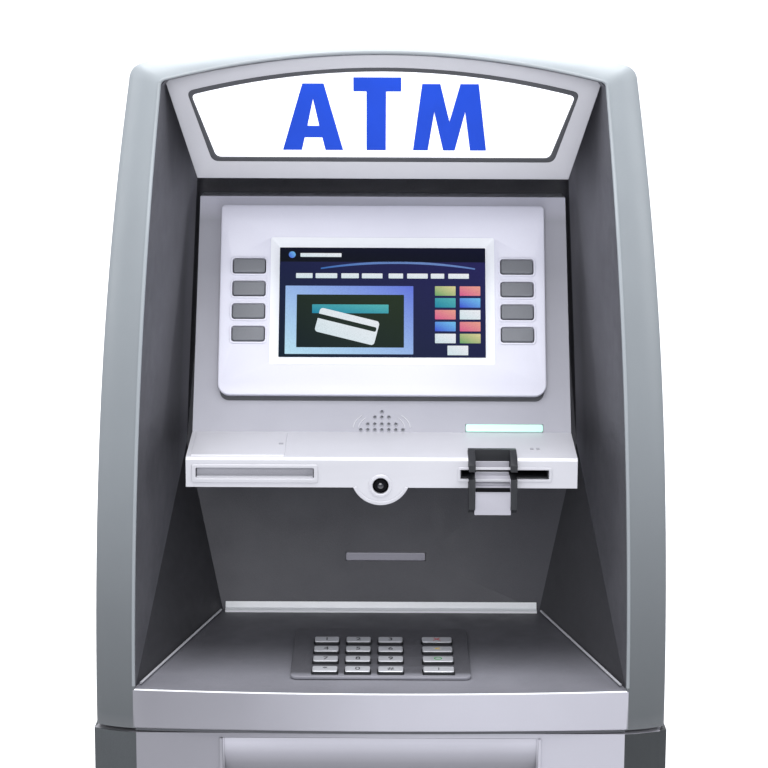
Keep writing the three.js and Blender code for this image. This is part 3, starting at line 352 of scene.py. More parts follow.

# Painted light and shade: finishes whose colour is made lighter or darker along an axis to stand in for how
# light falls on each part. name -> (slot, maker, settings, axis, tint, (place in metres, level) stops).
SILVER = (0.3, 0.3, 0.32)
DARK = (0.1, 0.1, 0.11)
MAUVE = (0.98, 0.97, 1.09)
GREEN_GREY = (0.94, 1.03, 1.1)
COOL = (0.98, 0.98, 1.12)
PAINTED_LIGHT_LOOKS = {
    # Hood: painted shade, darker towards the bottom, and a painted highlight along the top of the arch.
    "hood_silver": ("silver_moulding", moulding, (SILVER, 0.45, 0.15, 0.1), "Z", GREEN_GREY, (
        (0.94, 0.078), (1.02, 0.12), (1.15, 0.21), (1.25, 0.235), (1.33, 0.26), (1.39, 0.27), (1.41, 0.3),
        (1.424, 0.5), (1.434, 0.9))),
    # Opening bead: painted lighter than the hood, a painted highlight along the opening's edge, with painted
    # shade lower down.
    "bead_silver": ("silver_moulding", moulding, (SILVER, 0.45, 0.1, 0.1), "Z", GREEN_GREY, (
        (0.96, 0.2), (1.15, 0.29), (1.33, 0.33), (1.38, 0.27), (1.42, 0.25))),
    # Side bands of the door cover: painted shade, darker than the front because they face sideways, and
    # darker on the right.
    "band_silver": ("silver_moulding", textured, (SILVER, 0.5, 1500, 0.1, 0.2), "X", GREEN_GREY, (
        (-0.21, 0.06), (0.21, 0.032))),
    # Lip, door cover and tray edges: a painted highlight, lightest just right of the middle, with painted
    # shade to the left.
    "lip_silver": ("silver_moulding", moulding, (SILVER, 0.42, 0.15, 0.1), "X", MAUVE, (
        (-0.18, 0.185), (-0.1, 0.235), (0.0, 0.39), (0.08, 0.42), (0.18, 0.38))),
    # Tray bowl: painted shade, darker further down inside the bowl.
    "tray_silver": ("pale_moulding", moulding, (SILVER, 0.45, 0.1, 0.1), "Z", MAUVE, (
        (0.8, 0.16), (0.905, 0.16), (0.911, 0.19), (0.919, 0.29), (0.9275, 0.46))),
    # Bezel and key rims: painted shade, darker towards the bottom.
    "bezel_white": ("white_moulding", moulding, ((0.8, 0.8, 0.83), 0.4, 0.0, 0.15), "Z", COOL, (
        (1.165, 0.64), (1.22, 0.68), (1.305, 0.77))),
    # Fascia and speaker eyelets: painted light along the fascia's top edge, under the header.
    "fascia_silver": ("pale_moulding", moulding, (SILVER, 0.45, 0.15, 0.1), "Z", COOL, (
        (1.14, 0.33), (1.18, 0.3), (1.24, 0.28), (1.292, 0.34), (1.312, 0.8))),
    # Recess side walls: painted light and shade along depth, darkest near the front and lightest by the
    # fascia.
    "liner_wall": ("grey_liner", textured, (DARK, 0.55), "Y", COOL, (
        (-0.27, 0.07), (-0.2, 0.09), (-0.12, 0.13), (-0.09, 0.26), (-0.06, 0.45))),
    # Deck: painted light near its front edge and painted shade further in, under the pod.
    "liner_deck": ("grey_liner", textured, (DARK, 0.5), "Y", COOL, (
        (-0.28, 0.14), (-0.268, 0.17), (-0.24, 0.205), (-0.2, 0.13), (-0.176, 0.095), (-0.096, 0.085))),
    # PIN plate: painted light along its front margin, painted shade behind it.
    "plate_grey": ("grey_liner", textured, (DARK, 0.5), "Y", COOL, (
        (-0.251, 0.21), (-0.2465, 0.19), (-0.242, 0.085), (-0.146, 0.075))),
}
for name, (slot, make, settings, axis, tint, stops) in PAINTED_LIGHT_LOOKS.items():
    fade = (axis, [(place, scaled(tint, level)) for place, level in stops])
    EXTRAS[name] = (make(name, *settings, fade=fade), slot)


# --- mesh tools
def slab(x0, x1, y0, y1, z0, z1):
    bm = bmesh.new()
    bmesh.ops.create_cube(bm, size=1)
    for v in bm.verts:
        v.co = (x0 if v.co.x < 0 else x1, y0 if v.co.y < 0 else y1, z0 if v.co.z < 0 else z1)
    return bm


def weld(bm, reach):
    bmesh.ops.remove_doubles(bm, verts=bm.verts, dist=reach)


def merged(parts):
    whole = bmesh.new()
    for part in parts:
        mesh = bpy.data.meshes.new("part")
        part.to_mesh(mesh)
        part.free()
        whole.from_mesh(mesh)
        bpy.data.meshes.remove(mesh)
    return whole


def shifted(bm, x=0, y=0, z=0):
    bmesh.ops.translate(bm, verts=bm.verts, vec=(x, y, z))
    return bm


def spun(bm, angle, axis):
    bmesh.ops.rotate(bm, verts=bm.verts, cent=(0, 0, 0), matrix=Matrix.Rotation(angle, 3, axis))
    return bm


def woven(rows, around, along=False):
    """Quads between matching rows of points; each row, and the rows in turn, may close on themselves."""
    bm = bmesh.new()
    grid = [[bm.verts.new(p) for p in row] for row in rows]
    for a, b in zip(grid, grid[1:] + grid[:1] if along else grid[1:]):
        for i in range(len(a) if around else len(a) - 1):
            j = (i + 1) % len(a)
            bm.faces.new((a[i], a[j], b[j], b[i]))
    return bm, grid


def loft(rings):
    """A closed solid through matching rings, with both ends capped."""
    bm, grid = woven(rings, True)
    bm.faces.new(grid[0][::-1])
    bm.faces.new(grid[-1])
    return bm


def turned(profile, steps):
    """The same (radius, y) pairs at every step round the Y axis."""
    turns = [2 * pi * i / steps for i in range(steps)]
    return [[(r * cos(a), y, r * sin(a)) for r, y in profile] for a in turns]


def lathe(profile, steps=48):
    """A solid of revolution about Y, from (radius, y) pairs."""
    bm, _ = woven(turned(profile, steps), False, True)
    weld(bm, 1e-6)
    return bm


def rod(radius, y0, y1, chamfer=0.5, steps=32):
    c = min(chamfer, radius * 0.4)
    profile = [(0, y0), (radius - c, y0), (radius, y0 + c), (radius, y1 - c), (radius - c, y1), (0, y1)]
    return lathe(profile, steps)


def ring(radius, thick, y):
    """A round wire ring about Y."""
    wire = [(radius + thick * cos(b), y + thick * sin(b)) for b in [2 * pi * j / 10 for j in range(10)]]
    return woven(turned(wire, 64), True, True)[0]


FACING = {
    "front": Matrix.Rotation(radians(90), 4, "X"),
    "up": Matrix.Identity(4),
    "side": Matrix(((0, 0, 1, 0), (1, 0, 0, 0), (0, 1, 0, 0), (0, 0, 0, 1))),
}


def meshed(curve):
    """A curve's shape as a bmesh; the curve itself goes."""
    shape = bpy.data.objects.new(curve.name, curve)
    bm = bmesh.new()
    bm.from_mesh(shape.to_mesh())
    shape.to_mesh_clear()
    bpy.data.objects.remove(shape)
    bpy.data.curves.remove(curve)
    return bm


def plate(loops, low, high, soft=0.4, facing="front"):
    """A solid from outlines, the later ones being holes, with rounded edges.

    facing front: drawn in X and Z, from y=low to y=high. up: in X and Y, from z=low to z=high.
    side: in Y and Z, from x=low to x=high.
    """
    curve = bpy.data.curves.new("plate", "CURVE")
    curve.dimensions = "2D"
    curve.fill_mode = "BOTH"
    curve.extrude = (high - low) / 2 - soft
    curve.bevel_depth = soft
    curve.bevel_resolution = 2
    curve.offset = -soft
    for loop in loops:
        spline = curve.splines.new("POLY")
        spline.points.add(len(loop) - 1)
        for dot, (x, y) in zip(spline.points, loop):
            dot.co = (x, y, 0, 1)
        spline.use_cyclic_u = True
    bm = meshed(curve)
    bmesh.ops.transform(bm, verts=bm.verts, matrix=FACING[facing])
    middle = (low + high) / 2
    offset = {"front": (0, middle, 0), "up": (0, 0, middle), "side": (middle, 0, 0)}[facing]
    weld(bm, 1e-5)
    return shifted(bm, *offset)


def arc(cx, cy, r, start, sweep, steps):
    """Points of a circle's arc, its angles in degrees."""
    angles = [radians(start + sweep * i / steps) for i in range(steps + 1)]
    return [(cx + r * cos(a), cy + r * sin(a)) for a in angles]


def rounded(x0, x1, y0, y1, r, steps=8, high=None):
    """A rectangle with round corners, anticlockwise; the upper two may have their own radius."""
    h = r if high is None else high
    return (arc(x1 - h, y1 - h, h, 0, 90, steps) + arc(x0 + h, y1 - h, h, 90, 90, steps)
            + arc(x0 + r, y0 + r, r, 180, 90, steps) + arc(x1 - r, y0 + r, r, 270, 90, steps))


def circle(x, y, r, steps=40):
    return [(x + r * cos(2 * pi * i / steps), y + r * sin(2 * pi * i / steps)) for i in range(steps)]


def lettering(text, size, deep=0.12):
    """Generic signs in the built-in font, drawn in X and Y, centred, from z=0 up."""
    curve = bpy.data.curves.new("lettering", "FONT")
    curve.body = text
    curve.size = size
    curve.align_x = "CENTER"
    curve.align_y = "CENTER"
    curve.extrude = deep / 2
    curve.resolution_u = 4
    bm = meshed(curve)
    weld(bm, 1e-5)
    return shifted(bm, z=deep / 2)


# --- pieces
def placed(name, data):
    """A new object in the scene."""
    made = bpy.data.objects.new(name, data)
    bpy.context.scene.collection.objects.link(made)
    return made


def smooth_mesh(name, bm):
    mesh = bpy.data.meshes.new(name)
    bm.to_mesh(mesh)
    bm.free()
    mesh.polygons.foreach_set("use_smooth", [True] * len(mesh.polygons))
    return mesh


def finish_and_slot(look):
    return EXTRAS[look] if look in EXTRAS else (FINISHES[look], look)


def add(name, bm, look, body="fascia", space=MACHINE, soft=0.0, stands_for=(), smooth=35):
    """Makes a piece of a mesh in millimetres, gives it its finish and hands it to its body."""
    bmesh.ops.recalc_face_normals(bm, faces=bm.faces)
    mesh = smooth_mesh(name, bm)
    mesh.transform(space)
    finish, slot = finish_and_slot(look)
    mesh.materials.append(finish.material)
    piece = placed(name, mesh)
    if soft:
        bevel = piece.modifiers.new("soft_edges", "BEVEL")
        bevel.width = soft * MM
        bevel.segments = 2
        bevel.limit_method = "ANGLE"
        bevel.angle_limit = radians(smooth)
        bevel.harden_normals = True
    else:
        mesh.set_sharp_from_angle(angle=radians(smooth))
    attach(piece, body)
    if stands_for:
        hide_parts(*stands_for)
    return piece


BACK_TO_MM = MACHINE.inverted()


def cad_shape(node, whole=True):
    """A CAD node's own mesh in millimetres, its flat faces joined up again where whole is asked for."""
    bm = bmesh.new()
    bm.from_mesh(frame["nodes"][node].data)
    bmesh.ops.transform(bm, verts=bm.verts, matrix=BACK_TO_MM)
    weld(bm, 0.002)
    if whole:
        bmesh.ops.dissolve_limit(bm, angle_limit=radians(0.6), verts=bm.verts, edges=bm.edges)
    return bm


def second_look(piece, look, wanted):
    """Gives another finish to the faces that pass a test of their middle and normal, in millimetres."""
    piece.data.materials.append(finish_and_slot(look)[0].material)
    for face in piece.data.polygons:
        if wanted(BACK_TO_MM @ face.center, face.normal):
            face.material_index = len(piece.data.materials) - 1


def flat_faces(piece, wanted):
    """Shades the faces that pass a test of their normal as truly flat."""
    for face in piece.data.polygons:
        if wanted(face.normal):
            face.use_smooth = False


def refine(node, soft=0.7, smooth=35, look=None):
    """The CAD node's shape with its edges softened, or left sharp where soft is 0, and its real finish."""
    return add(node + "_skin", cad_shape(node, soft > 0), look or SLOT_OF[node], BODY_OF[node], soft=soft,
               smooth=smooth, stands_for=(node,))


# --- upper unit: hood and lip
def lerp(a, b, t):
    return a + (b - a) * t


def hood_half(z):
    return HOOD.half - (z - HOOD.z) ** 2 / (2 * HOOD.radius)


def arc_height(crown, x):
    return crown.z - crown.radius + sqrt(crown.radius ** 2 - x ** 2)


def opening_half(z):
    rise = max(z - OPENING.z, 0) / OPENING.rise
    return OPENING.half - OPENING.narrowing * rise ** OPENING.power


def lean_back(z):
    return LEAN.back * (max(z - LEAN.start, 0) / (LEAN.end - LEAN.start)) ** 2


def bezier(a, b, c, t):
    return tuple((1 - t) ** 2 * p + 2 * t * (1 - t) * q + t * t * r for p, q, r in zip(a, b, c))


def hood_stations(side_steps=44, corner_steps=8, top_steps=48):
    """Matching points of the opening's edge and the hood's outside, from lower left to lower right."""
    left = []
    for i in range(side_steps + 1):
        t = i / side_steps
        inner = lerp(HOOD.bottom, OPENING_CORNER.shoulder, t)
        outer = lerp(HOOD.bottom, HOOD.shoulder, t)
        left.append((-opening_half(inner), inner, -hood_half(outer), outer))
    half_in, half_out = OPENING_CORNER.half, HOOD_CORNER.half
    corner_in, corner_out = OPENING_CORNER.corner, HOOD_CORNER.corner
    for i in range(1, corner_steps):
        t = i / corner_steps
        inner = bezier(left[side_steps][:2], (-corner_in[0], corner_in[1]),
                       (-half_in, arc_height(OPENING_TOP, half_in)), t)
        outer = bezier(left[side_steps][2:], (-corner_out[0], corner_out[1]),
                       (-half_out, arc_height(HOOD_TOP, half_out)), t)
        left.append((*inner, *outer))
    top = []
    for i in range(top_steps + 1):
        t = 2 * i / top_steps - 1
        top.append((half_in * t, arc_height(OPENING_TOP, half_in * t),
                    half_out * t, arc_height(HOOD_TOP, half_out * t)))
    return left + top + [(-a, b, -c, d) for a, b, c, d in reversed(left)]


QUARTER_TURN = (0, pi / 8, pi / 4, 3 * pi / 8, pi / 2)


def hood_section(width, y):
    """The hood's wall from the opening's edge, round the band, to the tail and back inside."""
    edge = [(1 - cos(a), y + 1 - sin(a)) for a in QUARTER_TURN]
    band = []
    for i in range(1, 17):
        t = i / 16
        over = 0.5 * t + 0.5 * sin(t * pi / 2)
        back = 0.5 * t + 0.5 * (1 - cos(t * pi / 2))
        band.append((width * over, y + BAND_DEPTH * back))
    tail = width - HOOD_TAIL.inset
    outside = [(width, HOOD_TAIL.start - 4), (width - 0.6, HOOD_TAIL.start + 1), (tail, HOOD.rear)]
    inside = [(tail - SKIN, HOOD.rear), (width - SKIN, HOOD_TAIL.start - 1),
              (width - SKIN, y + BAND_DEPTH + 1), (SKIN, y + 5)]
    return [(0, y + 5)] + edge + band + outside + inside


def around_opening(section, lowest=0):
    """A solid round the opening; section gives (across, depth) points from the wall's width and lean."""
    rings = []
    for xi, zi, xo, zo in hood_stations():
        if zi < lowest:
            continue
        width = hypot(xo - xi, zo - zi)
        nx, nz = (xo - xi) / width, (zo - zi) / width
        rings.append([(xi + nx * a, y, zi + nz * a) for a, y in section(width, lean_back(zi))])
    return loft(rings)


def hood():
    # The hood's finish is painted shade, darker towards the bottom, with a painted highlight along the top.
    add("hood_moulding", around_opening(hood_section), "hood_silver", stands_for=("hood_shell",), smooth=28)


def bead_section(width, lean):
    turns = [2 * pi * i / 8 for i in range(8)]
    return [(1 + 1.3 * cos(a), lean + 0.7 + sin(a)) for a in turns]


def opening_bead():
    """The thin bead that edges the opening above the lip, painted brighter than the hood as a painted
    highlight, with painted shade lower down.
    """
    add("opening_bead", around_opening(bead_section, LIP_TOP), "bead_silver")


def lip():
    rings = []
    for i in range(49):
        t = i / 24 - 1
        high = -LIP_BOW * (1 - t * t)
        low = high * 0.7
        round_top = [(high + 1.3 * (1 - cos(a)), LIP_TOP + 1.3 * sin(a)) for a in QUARTER_TURN]
        section = round_top + [(5, 967.6), (5, 964.6), (high + 3.4, 964.2), (low + 3, 941), (12, 941),
                               (12, 938), (low + 0.8, 938), (low + 0.1, 938.8)]
        rings.append([((OPENING.half + 1.5) * t, y, z) for y, z in section])
    piece = add("front_lip", loft(rings), "lip_silver", stands_for=("hood_shell",))
    near_top = LIP_TOP - 6
    # Painted highlight: the lip's rounded top, where it faces up, takes the white finish; its flat top takes
    # the deck's painted light and shade.
    second_look(piece, "white_moulding", lambda p, n: n.z > 0.25 and p.z > near_top)
    second_look(piece, "liner_deck", lambda p, n: n.z > 0.97 and p.z > near_top)
    # A dark strip just under the lip's edge: a painted shadow of the seam between the hood and the cabinet.
    across = [i / 20 - 1 for i in range(41)]
    front = [(OPENING.half * t, -0.7 * LIP_BOW * (1 - t * t) + 1) for t in across]
    back = [(x, y + 5) for x, y in reversed(front)]
    add("lip_seam_painted_shadow", plate([front + back], 935.9, 938.1, 0.3, "up"), "gasket")


# --- recess
def recess():
    liner = refine("recess_liner", 0, 12)
    # Painted light and shade along depth on the walls and the deck, and painted shade on the facets: a darker
    # copy of the liner's finish.
    second_look(liner, "liner_wall", lambda p, n: abs(n.x) > 0.6 and n.y > -0.2)
    second_look(liner, "liner_facet", lambda p, n: abs(n.x) > 0.6 and n.y <= -0.2)
    second_look(liner, "liner_deck", lambda p, n: n.z > 0.8 and p.z < 1000)
    strip = [(168.5, 976.9), (173.4, 977.2), (175.8, 983.6), (174.6, 984.4), (173, 979.8), (168.5, 978.6)]
    add("deck_rear_trim", plate([strip], -124, 124, 0.2, "side"), "white_moulding")
    for side, name in ((-1, "left"), (1, "right")):
        ends = ((side * 173.5, 8, 969.5), (side * (DECK_REAR.half + 1), 168, 979.2))
        add("deck_edge_" + name, bead(ends, 0.9), "pale_moulding")
    lens = plate([rounded(LAMP.left, LAMP.right, LAMP.low, LAMP.high, 1.2)], -1, 6, 0.5)
    add("cash_lamp_lens", lens, "unlit_lens", space=WALL, stands_for=("cash_lamp",))


def bead(ends, radius):
    """A thin round moulding from one point to another."""
    a, b = Vector(ends[0]), Vector(ends[1])
    turn = (b - a).to_track_quat("Z", "Y")
    section = [turn @ Vector((x, y, 0)) for x, y in circle(0, 0, radius, 10)]
    return loft([[end + p for p in section] for end in (a, b)])


# --- header and sign
def sign_outline(inset, corner=0.0):
    """The sign's outline in the header's space, drawn in by so much, its corners eased if asked."""
    loop = [(-SIGN.low_half + inset, SIGN.low + inset), (SIGN.low_half - inset, SIGN.low + inset)]
    for i in range(25):
        t = 1 - i / 12
        crown = SIGN.peak - inset - (SIGN.peak - SIGN.high) * t * t
        loop.append(((SIGN.high_half - inset) * t, crown))
    return eased(loop, corner) if corner else loop


def eased(loop, reach):
    """The same outline with its sharp corners rounded off over the reach given."""
    out = []
    for i, here in enumerate(loop):
        back = Vector(loop[i - 1]) - Vector(here)
        ahead = Vector(loop[(i + 1) % len(loop)]) - Vector(here)
        if abs(back.angle(ahead) - pi) < radians(25):
            out.append(here)
            continue
        start = Vector(here) + back.normalized() * min(reach, back.length * 0.49)
        end = Vector(here) + ahead.normalized() * min(reach, ahead.length * 0.49)
        out += [bezier(start, here, end, t / 6) for t in range(7)]
    return out


# The three letters on the sign, as outlines in X and height; an A's second loop is its hole.
LETTER_LOW, LETTER_HIGH = 22.6, 74.5
LETTER_A = [[(-72, LETTER_LOW), (-58.4, LETTER_LOW), (-56.2, 32.6), (-43.6, 32.6), (-41.4, LETTER_LOW),
             (-28.8, LETTER_LOW), (-42.2, LETTER_HIGH), (-57.4, LETTER_HIGH)],
            [(-54.2, 41.4), (-45.6, 41.4), (-49.9, 63)]]
LETTER_T = [[(-11.9, LETTER_LOW), (2, LETTER_LOW), (2, 68.9), (12.7, 68.9), (12.7, 79.4), (-21.2, 79.4),
             (-21.2, 68.9), (-11.9, 68.9)]]
LETTER_M = [[(21.6, LETTER_LOW), (32.2, LETTER_LOW), (36.4, 53), (43.2, LETTER_LOW), (51.6, LETTER_LOW),
             (58.4, 53), (62.6, LETTER_LOW), (74.2, LETTER_LOW), (67.6, LETTER_HIGH), (54.6, LETTER_HIGH),
             (47.4, 45), (40.4, LETTER_HIGH), (27.5, LETTER_HIGH)]]


def header_outline():
    """The header frame's outline in its own space, out to the edge of the opening."""
    rise = cos(radians(HEADER_TILT))
    foot = ((-134.6, -0.3), (134.6, -0.3), (154.8, (1402 - HEADER_Z) / rise))
    loop = list(foot)
    for i in range(33):
        x = 150 - 300 * i / 32
        loop.append((x, (arc_height(OPENING_TOP, x) - 0.4 - HEADER_Z) / rise))
    return loop + [(-foot[2][0], foot[2][1])]


def header():
    refine("sign_box", 1.1, 30)
    frame_loops = [header_outline(), sign_outline(-0.3, 5)]
    add("header_frame", plate(frame_loops, -0.9, 0.3, 0.5), "pale_moulding", space=HEADER)
    face = plate([sign_outline(0.3)], 0.6, 3.6, 0.3)
    add("sign_face", face, "sign_acrylic", space=HEADER, stands_for=("sign_panel",))
    gasket_loops = [sign_outline(-0.4, 5), sign_outline(2.7, 4)]
    add("sign_gasket", plate(gasket_loops, -0.8, 0.9, 0.3), "gasket", space=HEADER)
    for name, loops in (("A", LETTER_A), ("T", LETTER_T), ("M", LETTER_M)):
        add("sign_letter_" + name, plate(loops, -0.7, 0.7, 0.2), "sign_blue", space=HEADER)
    bar = [slab(-118, 118, 30, 34, 34, 44)]
    bar += [shifted(rod(2.4, 27.6, 30), x, 0, 39) for x in range(-108, 109, 12)]
    add("sign_lamp", merged(bar), "led_white", space=HEADER, soft=0.3)


# --- display pod
def speaker_dots():
    """The places of the speaker's holes, from rows of (height up the fascia, count)."""
    return [((i - (count - 1) / 2) * SPEAKER_PITCH, s) for s, count in SPEAKER_ROWS for i in range(count)]


def pod():
    piece = refine("display_pod", 0, 2)
    # Painted light: the fascia's faces, and the speaker eyelets below, take a finish lightened along the
    # fascia's top edge.
    second_look(piece, "fascia_silver", lambda p, n: n.z < 0.6 and p.z > 1136)
    dots = speaker_dots()
    eyelets = [plate([circle(x, s, 1.62, 24), circle(x, s, 1.12, 24)], -0.35, 1.2, 0.12) for x, s in dots]
    add("speaker_eyelets", merged(eyelets), "fascia_silver", space=FASCIA)
    cloth = merged([shifted(rod(1.26, 0.7, 2.2, 0.3, 16), x, 0, s) for x, s in dots])
    add("speaker_cloth", cloth, "grey_keycap", space=FASCIA)
    waves = []
    for side in (-1, 1):
        for reach in (17.5, 21.5):
            turns = [radians(d) for d in range(2, 52, 5)]
            wave = [(side * reach * cos(a), 3 + reach * 0.62 * sin(a)) for a in turns]
            loop = wave + [(x * 0.965, z - 0.35) for x, z in reversed(wave)]
            waves.append(plate([loop if side > 0 else loop[::-1]], -0.3, 0.4, 0.1))
    add("speaker_arcs", merged(waves), "pale_moulding", space=FASCIA)
    cover = [(23.6, 1133.8), (75, 1140.8), (75, 1141.7), (24.4, 1134.8)]
    add("printer_cover", plate([cover], -137, -70, 0.2, "side"), "pale_moulding")
    marks = ((-75, 3.4, 47, 1137.9), (107.6, 2.6, 40, 1136.2), (112, 2.6, 40, 1136.2))
    marks = [slab(x, x + wide, y, y + 5, z, z + 0.5) for x, wide, y, z in marks]
    add("shelf_marks", merged(marks), "grille_cloth", soft=0.15)
    lens = plate([rounded(62.3, 119.5, 0.5, 6, 1.2)], -0.9, 5, 0.4)
    add("card_lamp_lens", lens, "lit_lens", space=FASCIA, stands_for=("card_lamp",))


def centred(x, y, wide, tall, radius, steps=8):
    return rounded(x - wide / 2, x + wide / 2, y - tall / 2, y + tall / 2, radius, steps)


def side_key(x, s, grow, radius):
    return centred(x, s, SIDE_KEY.wide + 2 * grow, SIDE_KEY.tall + 2 * grow, radius)


def key_holes(grow, radius):
    return [side_key(x, s, grow, radius) for x in (SIDE_KEY.left, SIDE_KEY.right) for s in KEY_ROWS]


def round_screen(grow, radius, steps):
    half = SCREEN.half + grow
    return rounded(-half, half, SCREEN.low - grow, SCREEN.high + grow, radius, steps)


def bezel():
    screen_hole = round_screen(6.4, 2, 8)
    outside = rounded(-BEZEL.half, BEZEL.half, BEZEL.low, BEZEL.high, 9, 10, 3)
    # The bezel's finish is painted shade, darker towards the bottom.
    add("bezel_plate", plate([outside, screen_hole] + key_holes(0.45, 2), -BEZEL.proud - 0.3, -0.3, 1.0),
        "bezel_white", space=FASCIA, stands_for=("screen_bezel",))
    shape = []
    for y, grow in ((-5.1, 6.6), (-4.5, 5.6), (-1.0, 0.4), (-0.4, 0.0), (-0.3, 6.6)):
        shape.append([(x, y, z) for x, z in round_screen(grow, 0.6 + grow * 0.2, 4)])
    add("screen_bevel", woven(shape, True, True)[0], "white_moulding", space=FASCIA, smooth=30)
    # A dark strip behind the bezel's lower edge: a painted shadow cast by the bezel on the fascia.
    shadow_outline = rounded(-BEZEL.half + 1.5, BEZEL.half - 1.5, BEZEL.low - 3, BEZEL.low + 20, 7)
    add("bezel_painted_shadow", plate([shadow_outline], -0.35, -0.05, 0.1), "gasket", space=FASCIA)
    # The key rims take the bezel's painted shade.
    pairs = zip(key_holes(2.1, 3.2), key_holes(0.7, 2.2))
    rims = [plate([outer, inner], -6.0, -5.0, 0.3) for outer, inner in pairs]
    add("key_rims", merged(rims), "bezel_white", space=FASCIA)


def function_keys():
    top = -BEZEL.proud - 0.3 - SIDE_KEY.proud
    for name, x in (("left", SIDE_KEY.left), ("right", SIDE_KEY.right)):
        for row, s in enumerate(KEY_ROWS):
            node = f"function_key_{name}_{row + 1}"
            cap = plate([side_key(x, s, 0, 1.8)], top, top + SIDE_KEY.deep, 0.8)
            add(node + "_cap", cap, "grey_keycap", node, FASCIA, stands_for=(node,))


# --- screen picture
def on_screen(u0, u1, v0, v1):
    """A rectangle of the screen, u from the left and v from the top, as corners in the fascia's space."""
    wide = 2 * SCREEN.half
    tall = SCREEN.high - SCREEN.low
    return (-SCREEN.half + u0 * wide, -SCREEN.half + u1 * wide,
            SCREEN.high - v1 * tall, SCREEN.high - v0 * tall)


def picture(name, loops, look, level):
    """A thin layer of the picture; a higher level lies in front."""
    front = -0.02 - 0.03 * level
    add("screen_" + name, plate(loops, front, front + 0.025, 0.002), "screen_" + look, space=FASCIA)


def tile(u0, u1, v0, v1, r=0.4):
    return rounded(*on_screen(u0, u1, v0, v1), r, 3)


def screen():
    refine("lcd_module", 0.4, 30)
    layers = [
        ("base", [tile(0, 1, 0, 1)], "back", 0),
        ("top_band", [tile(0, 1, 0, 0.13)], "black", 1),
        ("mark", [circle(*on_screen_point(0.06, 0.065), 2.6, 20)], "blue", 2),
        ("name_bar", [tile(0.1, 0.3, 0.05, 0.085)], "light", 2),
        ("frame", [tile(0.03, 0.65, 0.35, 0.97)], "frame", 1),
        ("view", [tile(0.085, 0.605, 0.43, 0.91)], "scene", 2),
        ("slot_glow", [tile(0.16, 0.53, 0.52, 0.6)], "teal", 3),
        ("card", [rotated_tile(0.33, 0.72, 46, 19, -14)], "light", 4),
        ("card_stripe", [rotated_tile(0.327, 0.685, 46, 3.6, -14)], "scene", 5),
        ("swoosh", [swoosh()], "swoosh", 1),
    ]
    for name, loops, look, level in layers:
        picture(name, loops, look, level)
    words = ((0.08, 0.16), (0.175, 0.28), (0.3, 0.385), (0.4, 0.5),
             (0.53, 0.6), (0.62, 0.72), (0.735, 0.8), (0.82, 0.92))
    picture("caption", [tile(a, b, 0.235, 0.28) for a, b in words], "light", 2)
    looks = ("leaf", "rose", "teal", "blue", "rose", "light", "blue", "rose", "light", "leaf", "light")
    for i, look in enumerate(looks):
        u = (0.755, 0.875)[i % 2] if i < 10 else 0.815
        v = 0.35 + 0.108 * (i // 2)
        picture(f"tile_{i + 1}", [tile(u, u + 0.1, v, v + 0.086)], look, 2)


def on_screen_point(u, v):
    x0, _, z0, _ = on_screen(u, u, v, v)
    return x0, z0


def rotated_tile(u, v, wide, tall, turn):
    x, z = on_screen_point(u, v)
    a = radians(turn)
    loop = centred(0, 0, wide, tall, min(2.5, tall / 3), 5)
    return [(x + p * cos(a) - q * sin(a), z + p * sin(a) + q * cos(a)) for p, q in loop]


def swoosh():
    """A long thin crescent under the caption."""
    upper = []
    lower = []
    for i in range(25):
        t = i / 24
        x, z = on_screen_point(0.2 + 0.75 * t, 0.19 - 0.24 * t * (1 - t))
        upper.append((x, z + 0.5))
        lower.append((x, z - 3.2 * t * (1 - t) - 0.6))
    return lower + upper[::-1]


# --- card reader, receipt slot, camera
def card_reader():
    piece = refine("card_reader_bezel", 0.5, 30, "black_plastic")
    low, high = THROAT.left + THROAT.cheek - 0.6, THROAT.right - THROAT.cheek + 0.6
    second_look(piece, "silver_moulding",
                lambda p, normal: low < p.x < high and p.z < CARD.low - 0.4 and p.y < THROAT.back)
    groove = slab(low + 0.8, high - 0.8, 13.4, 17.2, 1110.5, 1112.9)
    add("throat_groove", groove, "legend_black", soft=0.2)
    gaps = ((1113.4, 1121.6), (1123.2, 1129.4))
    guides = [slab(low + 0.8, high - 0.8, 30.6, 31.6, z0, z1) for z0, z1 in gaps]
    add("card_guides", merged(guides), "silver_moulding", soft=0.3)
    refine("card_reader_body", 0.5)
    frame_loops = [rounded(CARD.left - 2.2, CARD.right + 2.2, CARD.low - 3, CARD.high + 2, 1.6),
                   rounded(CARD.left - 0.2, CARD.right + 0.2, CARD.low - 1.2, CARD.high + 0.1, 0.8)]
    add("card_slot_rim", plate(frame_loops, 19.3, 20.6, 0.35), "pale_moulding")


def receipt():
    refine("receipt_printer", 0.6, look="black_plastic")
    x0, x1, z0, z1 = RECEIPT.left, RECEIPT.right, RECEIPT.low, RECEIPT.high
    loops = [rounded(x0 - 2.4, x1 + 2.4, z0 - 2.4, z1 + 2, 2),
             rounded(x0 + 0.6, x1 - 0.6, z0 + 0.8, z1 - 0.6, 1.2)]
    add("receipt_rim", plate(loops, 19.2, 23.2, 0.6), "pale_moulding")
    chute = ((20.4, 0.8), (23.3, 0.8), (58, 5.2), (58, 6.2), (23, 2.4), (20.4, 2))
    chute = [(y, z0 + rise) for y, rise in chute]
    add("receipt_chute", plate([chute], x0 + 1.2, x1 - 1.2, 0.15, "side"), "pale_moulding")
    flap = plate([rounded(x0 + 1, x1 - 1, z0 + 1.4, z1 + 0.2, 0.6)], 23.4, 24.6, 0.3)
    add("receipt_deflector", flap, "grille_cloth")
    refine("paper_roll", 0.5)
    refine("platen_roller", 0.4)


